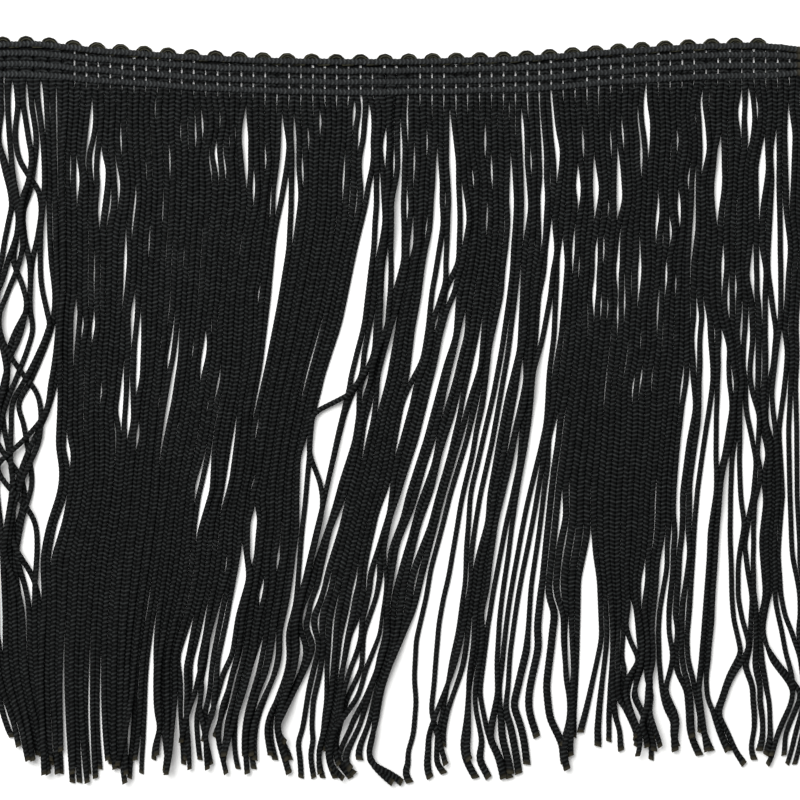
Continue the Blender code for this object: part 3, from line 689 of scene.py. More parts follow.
@dataclass
class StrandField:
    """Where each strand lies, at every millimetre from the top of the heading to the tips.

    The layout grid has squares of grid_side, and its row grid_hem is the hem line.
    """

    trim: TrimFrame
    step: float = 1.0
    lowest: float = -160.0
    loop_height: float = 6.9
    # the layout grid
    grid_side: float = 0.22
    grid_hem: float = 96.0
    route_digits: int = 1
    # how the strands are combed side by side
    overlap: float = 0.93
    guide_hold: float = 0.02
    root_hold: float = 5.0
    root_reach: float = 2.0
    settle_every: int = 10
    last_settles: int = 3
    # thin slits besides those in the tables
    slit_grain: float = 4.5
    slit_from: float = 1.35
    slit_width: float = 1.0
    slit_depth: float = 28.0
    deep_slits: float = 0.15
    # how far a strand spreads into spare room, or narrows beside a slit
    most_widening: float = 1.46
    most_narrowing: float = 0.72
    closing: float = 0.09
    width_blend: float = 2.0
    # the notches between the wales, just below the heading
    pair_spacing: float = 1.0
    pair_fade: float = 0.5
    notch_fade: float = 2.2
    notch_lengths: tuple[float, float] = (0.3, 1.6)
    notch_span: tuple[float, float] = (55.0, 132.0)
    # a strand, slimmer towards its tail
    width: float = 1.33
    thickness: float = 0.82
    tail_from: float = 95.0
    tail_to: float = 150.0
    tail_curve: float = 1.5
    tail_slimming: float = 0.11
    # its small waves
    wander: float = 0.09
    wander_grain: float = 9.0
    wander_blend: float = 1.5
    wander_own: float = 0.3
    free_by: float = 25.0
    tail_wander: float = 0.6
    tail_shared: float = 1.6
    tail_own: float = 0.5
    # the sway of the tips, and of the loose ones
    tip_sway: float = 1.3
    tip_reach: float = 20.0
    tip_overshoot: float = 1.2
    loose_share: float = 0.32
    loose_sway: float = 3.0
    loose_reach: float = 42.0
    # the matted strands at the left end
    matted_to: float = 33.0
    matted_edge: float = 8.0
    matted_from: float = 70.0
    matted_fade: float = 50.0
    matted_play: float = 0.25
    matted_widening: float = 0.12
    matted_sway: float = 6.0
    drift_grain: float = 24.0
    drift_blend: float = 5.0
    # the strays
    stray_blend: float = 9.0
    stray_hug: float = 0.35
    root_splay: float = 0.35
    splay_reach: float = 3.5
    # one strand over another
    nesting: float = 0.9
    lift_blend: float = 1.2
    heading_cover: float = 1.0
    # the first seed of the random draws
    seed: int = 7
    # worked out from the combs: the levels, and for each strand its place, size and height
    ups: np.ndarray = field(init=False)
    places: np.ndarray = field(init=False)
    roots: np.ndarray = field(init=False)
    hems: np.ndarray = field(init=False)
    tips: np.ndarray = field(init=False)
    bases: np.ndarray = field(init=False)
    widths: np.ndarray = field(init=False)

    def __post_init__(self) -> None:
        """Reads the combs and works out the lie of every strand."""
        under = self.trim.strand_ridges("fringe_under")
        over = self.trim.strand_ridges("fringe_over")
        lines = [None] * (len(under) + len(over))
        lines[::2], lines[1::2] = under, over
        self.roots = np.array([line[0, 0] for line in lines])
        self.hems = self.trim.across(self.roots, 0.0)
        self.tips = np.array([line[-1, 1] for line in lines])
        top = float(self.trim.across(self.roots, self.loop_height).max())
        self.ups = np.arange(math.ceil(top), self.lowest, -self.step)
        depth = self.depth()
        self.places = np.array([curve_through(-line[:, 1], line[:, 0], depth) for line in lines])
        self.widths = np.ones_like(self.places)
        self.comb_out()
        self.pair_up()
        self.let_wander()
        self.lay_strays()
        self.bases = self.stacked()
        log.info("%d strands read from the combs", len(lines))

    def depth(self) -> np.ndarray:
        """How far each level is under the hem line."""
        return -self.ups

    def slimness(self) -> np.ndarray:
        """The strands' width at each level, as a share of that at their roots."""
        tail = np.clip(self.depth() / self.tail_from, 0, 1)
        return 1 - self.tail_slimming * tail

    def comb_out(self) -> None:
        """Lays the strands side by side, parted along the openings and by a few thin slits."""
        loose = {stray.strand for stray in STRAYS}
        combed = np.array([strand for strand in range(len(self.places)) if strand not in loose])
        width = self.width * self.slimness()
        slits = self.thin_slits(len(combed) - 1)
        below_root = (self.hems[combed][:, None] - self.ups) / self.root_reach
        hold = self.guide_hold + self.root_hold * np.clip(1 - below_root, 0, 1)
        layout = StrandLayout(self.places[combed], self.overlap * width + slits, hold)
        missed = 0
        openings = [*OPENINGS, *(self.slit_points(*slit) for slit in SLITS)]
        for turn, points in enumerate(sorted(openings, key=self.opening_area, reverse=True)):
            if turn % self.settle_every == 0:
                layout.settle()
            missed += not layout.open(*self.on_levels(points))
        for _ in range(self.last_settles):
            layout.settle()
        self.places[combed] = layout.places
        self.widths[combed] = self.spread(layout, width, slits)
        log.info("%d openings, %d without a gap", len(openings), missed)

    def thin_slits(self, gaps: int) -> np.ndarray:
        """Draws a few thin slits between the strands, most of them near the heading.

        Args:
            gaps: How many gaps there are between the combed strands.

        Returns:
            The width of each gap's slit at each level.
        """
        noise = smooth_noise((gaps, len(self.ups)), self.slit_grain, self.seed)
        slits = self.slit_width * np.clip(noise - self.slit_from, 0, None)
        near_hem = np.exp(-((self.depth() / self.slit_depth) ** 2))
        slits *= self.deep_slits + (1 - self.deep_slits) * near_hem
        slits *= np.clip(self.depth() / self.root_reach, 0, 1)
        return slits

    def spread(self, layout: StrandLayout, width: np.ndarray, slits: np.ndarray) -> np.ndarray:
        """Widens the strands into the spare room beside them, and narrows them beside a slit.

        Args:
            layout: The combed strands.
            width: Their full width at each level.
            slits: The width of the thin slit in each gap.

        Returns:
            The width of each strand at each level, as a share of the full one.
        """
        spare = np.diff(layout.places, axis=0) - width - slits
        spare = np.where(slits > 0, spare, np.clip(spare, 0, None))
        spare = np.where(layout.strength > 0, 0, spare)
        beside = np.zeros_like(layout.places)
        beside[1:] += spare / 2
        beside[:-1] += spare / 2
        share = 1 + beside / width + self.closing * (beside > 0)
        share = np.clip(share, self.most_narrowing, self.most_widening)
        return smoothed(share, self.width_blend)

    def slit_points(
        self, column: float, top: float, foot: float, width: float, lean: float
    ) -> tuple[tuple[float, float, float], ...]:
        """A thin slit as an opening: a point at its top, one halfway down and one at its foot."""
        middle = (column + lean / 2, (top + foot) / 2, width)
        return (column, top, 0.0), middle, (column + lean, foot, 0.0)

    def opening_area(self, points: tuple[tuple[float, float, float], ...]) -> float:
        """How much floor an opening shows, in squares of the grid."""
        _, down, width = np.array(points).T
        return float(((width[1:] + width[:-1]) / 2 * np.diff(down)).sum())

    def on_levels(
        self, points: tuple[tuple[float, float, float], ...]
    ) -> tuple[slice, np.ndarray, np.ndarray]:
        """The levels that an opening spans, in millimetres.

        Args:
            points: The points down its middle, in squares of the grid.

        Returns:
            Its levels, and its middle and its width at each.
        """
        place, down, width = np.array(points).T * self.grid_side
        down -= self.grid_hem * self.grid_side
        depth = self.depth()
        first = int(np.searchsorted(depth, down[0]))
        last = min(int(np.searchsorted(depth, down[-1])), len(depth))
        levels = slice(min(first, last - 2), last)
        at = depth[levels]
        return levels, np.interp(at, down, place), np.interp(at, down, width)

    def pair_up(self) -> None:
        """Draws the two strands of each knitted wale together inside the heading, or just below."""
        pairs = np.arange(1, len(self.places) - 1, 2)
        centre = (self.places[pairs] + self.places[pairs + 1]) / 2
        below_hem = self.hems[pairs][:, None] - self.ups[None, :]
        first, last = self.notch_span
        notched = (self.roots[pairs] > first) & (self.roots[pairs] < last)
        draws = np.random.default_rng(self.seed + 4)
        length = draws.uniform(*self.notch_lengths, len(pairs))
        fade = np.where(notched, self.notch_fade * length, self.pair_fade)[:, None]
        near = np.exp(-np.maximum(below_hem, 0) / fade)
        half = (self.places[pairs + 1] - self.places[pairs]) / 2
        half = half + near * (self.pair_spacing / 2 - half)
        self.places[pairs] = centre - half
        self.places[pairs + 1] = centre + half

    def let_wander(self) -> None:
        """Adds the small waves of a soft strand, wider in the loose tails and shared where matted."""
        shape = self.places.shape
        noise = smooth_noise(shape, self.wander_grain, self.seed + 1)
        shared = smoothed(noise.T, self.wander_blend).T
        own = smooth_noise(shape, self.wander_grain, self.seed + 2)
        free = np.clip((self.hems[:, None] - self.ups) / self.free_by, 0, 1)
        past = (self.depth() - self.tail_from) / (self.tail_to - self.tail_from)
        tail = np.clip(past, 0, 1) ** self.tail_curve
        self.places += free * self.wander * (shared + self.wander_own * own)
        apart = np.clip((self.roots - self.matted_to) / self.matted_edge, 0, 1)[:, None]
        play = np.maximum(apart, self.matted_play)
        mat = (1 - apart) * np.clip((self.depth() - self.matted_from) / self.matted_fade, 0, 1)
        noise = smooth_noise(shape, self.drift_grain, self.seed + 5)
        drift = smoothed(noise.T, self.drift_blend).T
        self.places += self.matted_sway * mat * drift
        self.widths += self.matted_widening * mat
        waves = self.tail_shared * shared + self.tail_own * own
        self.places += play * self.tail_wander * tail * waves
        self.sway_tips(play)

    def sway_tips(self, play: np.ndarray) -> None:
        """Swings each strand's lower end to one side, some of them from further up.

        Args:
            play: How freely each strand moves, as a share.
        """
        draws = np.random.default_rng(self.seed + 3)
        sway = draws.normal(0, 1, (len(self.tips), 1))
        loose = draws.uniform(size=sway.shape) < self.loose_share
        reach = np.where(loose, self.loose_reach, self.tip_reach)
        from_tip = (self.ups - self.tips[:, None]) / reach
        sway *= play * np.where(loose, self.loose_sway, self.tip_sway)
        self.places += sway * np.clip(1 - from_tip, 0, self.tip_overshoot) ** 2

    def lay_strays(self) -> None:
        """Lays the loose strands along their own routes, eased into the rest of their length."""
        depth = self.depth()
        for stray in STRAYS:
            route = (np.array(stray.route) - (0, self.grid_hem)) * self.grid_side
            route = np.round(route, self.route_digits)
            if stray.beside:
                above, below = stray.beside
                hug = self.stray_hug * self.width * self.slimness()
                upper = depth < route[:, 1].mean()
                beside = np.where(upper, self.places[above] - hug, self.places[below] + hug)
                self.places[stray.strand] = beside
            line = curve_through(route[:, 1], route[:, 0], depth)
            combed = self.places[stray.strand]
            first, last = np.interp(route[[0, -1], 1], depth, combed)
            off = np.where(depth < route[0, 1], route[0, 0] - first, line - combed)
            off = np.where(depth > route[-1, 1], route[-1, 0] - last, off)
            past = np.maximum(route[0, 1] - depth, 0) + np.maximum(depth - route[-1, 1], 0)
            self.places[stray.strand] = combed + off * np.exp(-((past / self.stray_blend) ** 2))
            below_root = np.maximum(self.hems[stray.strand] - self.ups, 0) / self.splay_reach
            self.widths[stray.strand] += self.root_splay * np.exp(-(below_root**2))

    def stacked(self) -> np.ndarray:
        """Works out how high the strands lie: on the floor, or up on those that they cross.

        Returns:
            The height of each strand's underside at each level.
        """
        width = self.width * self.slimness()
        heights = np.zeros_like(self.places)
        count = len(self.places)
        order = [*range(0, count, 2), *range(1, count, 2)]
        for turn, strand in enumerate(order[1:], start=1):
            below = np.array(order[:turn])
            apart = np.abs(self.places[below] - self.places[strand]) / width
            carried = np.sqrt(np.clip(1 - apart**2, 0, 1)) * self.thickness * self.nesting
            lift = np.where(apart < 1, carried + heights[below], 0.0).max(axis=0)
            lift = np.max([np.roll(lift, -1), lift, np.roll(lift, 1)], axis=0)
            heights[strand] = smoothed(lift[None, :], self.lift_blend)[0]
        in_heading = self.ups[None, :] > self.hems[:, None] - self.heading_cover
        return np.where(in_heading, 0.0, heights)

    def wale_gaps(self) -> np.ndarray:
        """The places of the slits between the knitted wales."""
        pairs = np.arange(0, len(self.roots) - 1, 2)
        return (self.roots[pairs] + self.roots[pairs + 1]) / 2

    def line_of(self, strand: int) -> tuple[np.ndarray, np.ndarray]:
        """The middle line of one strand, and its width as a share of the full one.

        Args:
            strand: The strand's number from the left.

        Returns:
            Points as (place, up, height), and a share for each.
        """
        top = float(self.trim.across(self.roots[strand : strand + 1], self.loop_height)[0])
        keep = (self.ups < top) & (self.ups > self.tips[strand])
        slim = (self.slimness() * self.widths[strand])[keep]
        heights = self.bases[strand, keep] + self.thickness / 2 * slim
        points = np.stack([self.places[strand, keep], self.ups[keep], heights], axis=1)
        return points, slim


# ------------------------------------------------------------------ node trees


class Graph:
    """A node tree being built, with short ways to add nodes and join them."""

    def __init__(self, tree: bpy.types.NodeTree) -> None:
        """Keeps the tree that the nodes go into."""
        self.tree = tree

    def add(self, kind: str, inputs: dict | None = None, **settings: object) -> bpy.types.Node:
        """Adds a node.

        Args:
            kind: The node's type.
            inputs: Sockets by name or number, each with a value or with the output to join it to.
            settings: The node's own properties.

        Returns:
            The node.
        """
        node = self.tree.nodes.new(kind)
        for name, value in settings.items():
            setattr(node, name, value)
        for key, value in (inputs or {}).items():
            if isinstance(value, bpy.types.NodeSocket):
                self.tree.links.new(value, node.inputs[key])
            else:
                node.inputs[key].default_value = value
        return node

    def math(self, operation: str, *values: object) -> bpy.types.NodeSocket:
        """The result of a Math node on these values or outputs."""
        inputs = dict(enumerate(values))
        return self.add("ShaderNodeMath", inputs, operation=operation).outputs[0]

    def ranged(
        self, share: bpy.types.NodeSocket, least_more: tuple[float, float]
    ) -> bpy.types.NodeSocket:
        """A share turned into a value: the least, with more of it added as the share grows."""
        least, more = least_more
        return self.math("MULTIPLY_ADD", share, more, least)

    def vector(self, operation: str, *values: object) -> bpy.types.NodeSocket:
        """The result of a Vector Math node; where it scales, the second value is the scale."""
        inputs = {"Scale" if (operation, n) == ("SCALE", 1) else n: v for n, v in enumerate(values)}
        return self.add("ShaderNodeVectorMath", inputs, operation=operation).outputs[0]


def new_socket(tree: bpy.types.NodeTree, name: str, kind: str, output: bool = False) -> str:
    """Adds a named socket to a tree's interface.

    Args:
        tree: The tree.
        name: The socket's name.
        kind: Its type, such as Float.
        output: Whether it is an output.

    Returns:
        The socket's identifier.
    """
    way = "OUTPUT" if output else "INPUT"
    socket = tree.interface.new_socket(name=name, in_out=way, socket_type=f"NodeSocket{kind}")
    return socket.identifier


class KnittedCordTree:
    """Sweeps a knitted cord along curves: rings of stitches, drawn in between, bent or slanted.

    The swept mesh carries its stitch number, side, tone and distance from the cut end as
    attributes for its material.
    """

    INPUTS = (
        ("Section", "Object"),
        ("Stitch", "Float"),
        ("Rings", "Int"),
        ("Width", "Float"),
        ("Thickness", "Float"),
        ("Lag", "Float"),
        ("Slant", "Float"),
        ("Waist", "Float"),
        ("Unevenness", "Float"),
        ("Seed", "Int"),
        ("Finish", "Material"),
    )

    def __init__(self) -> None:
        """Builds the tree."""
        self.tree = bpy.data.node_groups.new("knitted_cord", "GeometryNodeTree")
        new_socket(self.tree, "Geometry", "Geometry")
        new_socket(self.tree, "Geometry", "Geometry", output=True)
        self.sockets = {name: new_socket(self.tree, name, kind) for name, kind in self.INPUTS}
        self.fill()

    def fill(self) -> None:
        """Adds the nodes."""
        graph = Graph(self.tree)
        given = graph.add("NodeGroupInput").outputs
        held = self.ringed(graph, given)
        corner, swept = self.swept(graph, given, held)
        side = graph.add("ShaderNodeSeparateXYZ", {0: corner}).outputs[0]
        moved = graph.add(
            "GeometryNodeSetPosition",
            {"Geometry": swept, "Offset": self.stitch_shape(graph, given, held, side)},
        ).outputs[0]
        for name, value in (
            ("stitch", held.outputs["stitch"]),
            ("side", side),
            ("tone", held.outputs["tone"]),
            ("from_end", held.outputs["from_end"]),
        ):
            moved = graph.add(
                "GeometryNodeStoreNamedAttribute",
                {"Geometry": moved, "Name": name, "Value": value},
                data_type="FLOAT",
                domain="POINT",
            ).outputs[0]
        smooth = graph.add("GeometryNodeSetShadeSmooth", {"Geometry": moved})
        real = graph.add("GeometryNodeRealizeInstances", {"Geometry": smooth.outputs[0]})
        dressed = graph.add(
            "GeometryNodeSetMaterial", {"Geometry": real.outputs[0], "Material": given["Finish"]}
        )
        graph.add("NodeGroupOutput", {0: dressed.outputs[0]})

    def ringed(self, graph: Graph, given: bpy.types.NodeOutputs) -> bpy.types.Node:
        """Cuts each curve into rings, a few to a stitch, and holds what is read along it.

        Args:
            graph: The tree being built.
            given: The tree's inputs.

        Returns:
            The capture node, with the curves and what is held on them.
        """
        chance = graph.add(
            "FunctionNodeRandomValue", {"Seed": given["Seed"]}, data_type="FLOAT"
        ).outputs[1]
        stretch = graph.math("MULTIPLY_ADD", chance, given["Unevenness"], 1.0)
        ring_length = graph.math("DIVIDE", given["Stitch"], given["Rings"])
        ring_length = graph.math("MULTIPLY", ring_length, stretch)
        resampled = graph.add(
            "GeometryNodeResampleCurve",
            {"Curve": given["Geometry"], "Length": ring_length},
            mode="LENGTH",
        )
        upright = graph.add(
            "GeometryNodeSetCurveNormal", {"Curve": resampled.outputs[0]}, mode="Z_UP"
        )
        along = graph.add("GeometryNodeSplineParameter").outputs
        stitch_number = graph.math("DIVIDE", along["Index"], given["Rings"])
        wave = graph.math("COSINE", graph.math("MULTIPLY", stitch_number, math.tau))
        drawn_in = graph.math("MULTIPLY_ADD", wave, -0.5, 0.5)
        whole = graph.add("GeometryNodeSplineLength").outputs["Length"]
        from_end = graph.math("SUBTRACT", whole, along["Length"])
        which = graph.add("GeometryNodeCurveOfPoint").outputs["Curve Index"]
        tone = graph.add(
            "FunctionNodeRandomValue", {"ID": which, "Seed": given["Seed"]}, data_type="FLOAT"
        ).outputs[1]
        return self.capture(
            graph,
            upright.outputs[0],
            {
                "stitch": ("FLOAT", stitch_number),
                "drawn_in": ("FLOAT", drawn_in),
                "from_end": ("FLOAT", from_end),
                "tone": ("FLOAT", tone),
                "tangent": ("VECTOR", graph.add("GeometryNodeInputTangent").outputs[0]),
                "centre": ("VECTOR", graph.add("GeometryNodeInputPosition").outputs[0]),
            },
        )

    def swept(
        self, graph: Graph, given: bpy.types.NodeOutputs, held: bpy.types.Node
    ) -> tuple[bpy.types.NodeSocket, bpy.types.NodeSocket]:
        """Sweeps the section along the curves.

        Args:
            graph: The tree being built.
            given: The tree's inputs.
            held: The capture node with the curves.

        Returns:
            Each point's corner in the section, and the swept mesh.
        """
        unit = graph.add("GeometryNodeObjectInfo", {"Object": given["Section"]}).outputs["Geometry"]
        place = graph.add("GeometryNodeInputPosition").outputs[0]
        section = self.capture(graph, unit, {"corner": ("VECTOR", place)})
        half_width = graph.math("MULTIPLY", given["Width"], 0.5)
        half_height = graph.math("MULTIPLY", given["Thickness"], 0.5)
        size = graph.add("ShaderNodeCombineXYZ", {0: half_width, 1: half_height, 2: 1.0}).outputs[0]
        sized = graph.add(
            "GeometryNodeTransform", {"Geometry": section.outputs["Geometry"], "Scale": size}
        )
        swept = graph.add(
            "GeometryNodeCurveToMesh",
            {
                "Curve": held.outputs["Geometry"],
                "Profile Curve": sized.outputs[0],
                "Scale": graph.add("GeometryNodeInputRadius").outputs[0],
                "Fill Caps": True,
            },
        ).outputs[0]
        return section.outputs["corner"], swept

    def stitch_shape(
        self,
        graph: Graph,
        given: bpy.types.NodeOutputs,
        held: bpy.types.Node,
        side: bpy.types.NodeSocket,
    ) -> bpy.types.NodeSocket:
        """How far each point moves, so that the rings bend or slant and draw in between stitches.

        Args:
            graph: The tree being built.
            given: The tree's inputs.
            held: The capture node with the curves.
            side: How far to the side of the cord each point lies.

        Returns:
            The offset.
        """
        back = graph.math("MULTIPLY", graph.math("ABSOLUTE", side), given["Lag"])
        back = graph.math("MULTIPLY_ADD", side, given["Slant"], back)
        lag = graph.vector("SCALE", held.outputs["tangent"], graph.math("MULTIPLY", back, -1.0))
        outward = graph.vector(
            "SUBTRACT",
            graph.add("GeometryNodeInputPosition").outputs[0],
            held.outputs["centre"],
        )
        inward = graph.math("MULTIPLY", held.outputs["drawn_in"], given["Waist"])
        waist = graph.vector("SCALE", outward, graph.math("MULTIPLY", inward, -1.0))
        return graph.vector("ADD", lag, waist)

    @staticmethod
    def capture(
        graph: Graph, geometry: bpy.types.NodeSocket, fields: dict[str, tuple]
    ) -> bpy.types.Node:
        """Holds fields on a geometry before it changes.

        Args:
            graph: The tree being built.
            geometry: What the fields are read on.
            fields: For each name, the data type and the field.

        Returns:
            The capture node, with an output for each name.
        """
        node = graph.add("GeometryNodeCaptureAttribute", {0: geometry}, domain="POINT")
        for name, (kind, socket) in fields.items():
            node.capture_items.new(kind, name)
            graph.tree.links.new(socket, node.inputs[name])
        return node


@dataclass(frozen=True)
class CordGauge:
    """The make of a knitted cord: its stitches and its section."""

    stitch: float = 0.905
    unevenness: float = 0.0
    rings: int = 2
    width: float = 1.33
    thickness: float = 0.82
    lag: float = 0.0
    slant: float = 0.2
    waist: float = 0.1
    corners: tuple[tuple[float, float], ...] = (
        (0.0, 0.84),
        (0.62, 1.0),
        (1.0, 0.3),
        (0.72, -0.95),
        (-0.72, -0.95),
        (-1.0, 0.3),
        (-0.62, 1.0),
    )


class CordMaker:
    """Makes knitted cords along lines."""

    def __init__(self, trim: TrimFrame) -> None:
        """Builds the tree that all of the cords share."""
        self.trim = trim
        self.knitted = KnittedCordTree()

    def curve(self, name: str, lines: list[tuple[np.ndarray, np.ndarray]]) -> bpy.types.Object:
        """A curve object with one line for each cord.

        Args:
            name: The object's name.
            lines: For each cord, its points as (place, up, height) and its radius at each.

        Returns:
            The object.
        """
        data = bpy.data.curves.new(name, "CURVE")
        data.dimensions = "3D"
        for points, radii in lines:
            spline = data.splines.new("POLY")
            spline.points.add(len(points) - 1)
            places = np.column_stack([self.trim.to_world(points), np.ones(len(points))])
            spline.points.foreach_set("co", places.reshape(-1))
            spline.points.foreach_set("radius", radii)
        shape = bpy.data.objects.new(name, data)
        bpy.context.scene.collection.objects.link(shape)
        return shape

    def section(self, gauge: CordGauge) -> bpy.types.Object:
        """The closed outline of a cord's cross-section.

        Args:
            gauge: The make of the cord, with the corners in shares of its half width and height.

        Returns:
            A curve object.
        """
        data = bpy.data.curves.new("cord_section", "CURVE")
        data.dimensions = "3D"
        spline = data.splines.new("POLY")
        spline.points.add(len(gauge.corners) - 1)
        for point, (side, up) in zip(spline.points, gauge.corners):
            point.co = (side, -up, 0.0, 1.0)
        spline.use_cyclic_u = True
        shape = bpy.data.objects.new("cord_section", data)
        bpy.context.scene.collection.objects.link(shape)
        return shape

    def make(
        self,
        name: str,
        lines: list[tuple[np.ndarray, np.ndarray]],
        gauge: CordGauge,
        finish: bpy.types.Material,
        seed: int = 0,
    ) -> bpy.types.Object:
        """Sweeps cords along lines and turns them into one plain mesh.

        Args:
            name: The piece's name.
            lines: For each cord, its points and its radius at each.
            gauge: The make of the cord.
            finish: Its material.
            seed: Sets the cords' tones.

        Returns:
            The piece.
        """
        path = self.curve(name + "_path", lines)
        section = self.section(gauge)
        modifier = path.modifiers.new("knit", "NODES")
        modifier.node_group = self.knitted.tree
        values = {
            "Section": section,
            "Stitch": gauge.stitch * MM,
            "Unevenness": gauge.unevenness,
            "Rings": gauge.rings,
            "Width": gauge.width * MM,
            "Thickness": gauge.thickness * MM,
            "Lag": gauge.lag * MM,
            "Slant": gauge.slant * MM,
            "Waist": gauge.waist,
            "Seed": seed,
            "Finish": finish,
        }
        for key, value in values.items():
            modifier[self.knitted.sockets[key]] = value
        graph = bpy.context.evaluated_depsgraph_get()
        mesh = bpy.data.meshes.new_from_object(path.evaluated_get(graph))
        mesh.name = name
        for done in (path, section):
            bpy.data.objects.remove(done)
        piece = bpy.data.objects.new(name, mesh)
        bpy.context.scene.collection.objects.link(piece)
        log.info("%s: %d triangles", name, sum(len(p.vertices) - 2 for p in mesh.polygons))
        return piece


# ------------------------------------------------------------------ finishes


@dataclass(frozen=True)
class YarnFinish:
    """The look of a knitted yarn: colours in linear light, with painted highlight and shade, and how
    it takes the light.
    """

    name: str
    # the yarn's black, darkened as painted shade in the hollows between the stitches
    black_with_painted_shade: tuple[float, float, float] = (0.0012, 0.0013, 0.0013)
    # a painted highlight, on the crests of the stitches or along the plies
    crest: tuple[float, float, float] = (0.029, 0.032, 0.032)
    cut_end: tuple[float, float, float] = (0.03, 0.026, 0.016)
    roughness: float = 0.55
    specular: float = 0.04
    fibre_bump: float = 0.35
    bump_depth: float = 0.0001
    highlight_pattern: HighlightPattern = HighlightPattern.CRESTS

    def material(self) -> bpy.types.Material:
        """Builds the yarn's material, which reads the cord's own attributes.

        Returns:
            The material.
        """
        material = bpy.data.materials.new(self.name)
        material.use_nodes = True
        material.node_tree.nodes.clear()
        graph = Graph(material.node_tree)
        knit = graph.add("ShaderNodeGroup", node_tree=KnitShading().tree())
        colour = graph.add(
            # Base colour: the hollow colour, with the crest colour painted over it as a highlight on
            # the crests or plies
            "ShaderNodeMix",
            {0: knit.outputs[self.highlight_pattern.value], 6: (*self.black_with_painted_shade, 1.0), 7: (*self.crest, 1.0)},
            data_type="RGBA",
        )
        ended = graph.add(
            "ShaderNodeMix",
            {0: knit.outputs["Cut End"], 6: colour.outputs[2], 7: (*self.cut_end, 1.0)},
            data_type="RGBA",
        )
        bump = graph.add(
            "ShaderNodeBump",
            {
                "Strength": self.fibre_bump,
                "Distance": self.bump_depth,
                "Height": knit.outputs["Height"],
            },
        )
        shader = graph.add(
            "ShaderNodeBsdfPrincipled",
            {
                "Base Color": ended.outputs[2],
                "Roughness": self.roughness,
                "Specular IOR Level": self.specular,
                "Normal": bump.outputs[0],
            },
        )
        graph.add("ShaderNodeOutputMaterial", {"Surface": shader.outputs[0]})
        return material


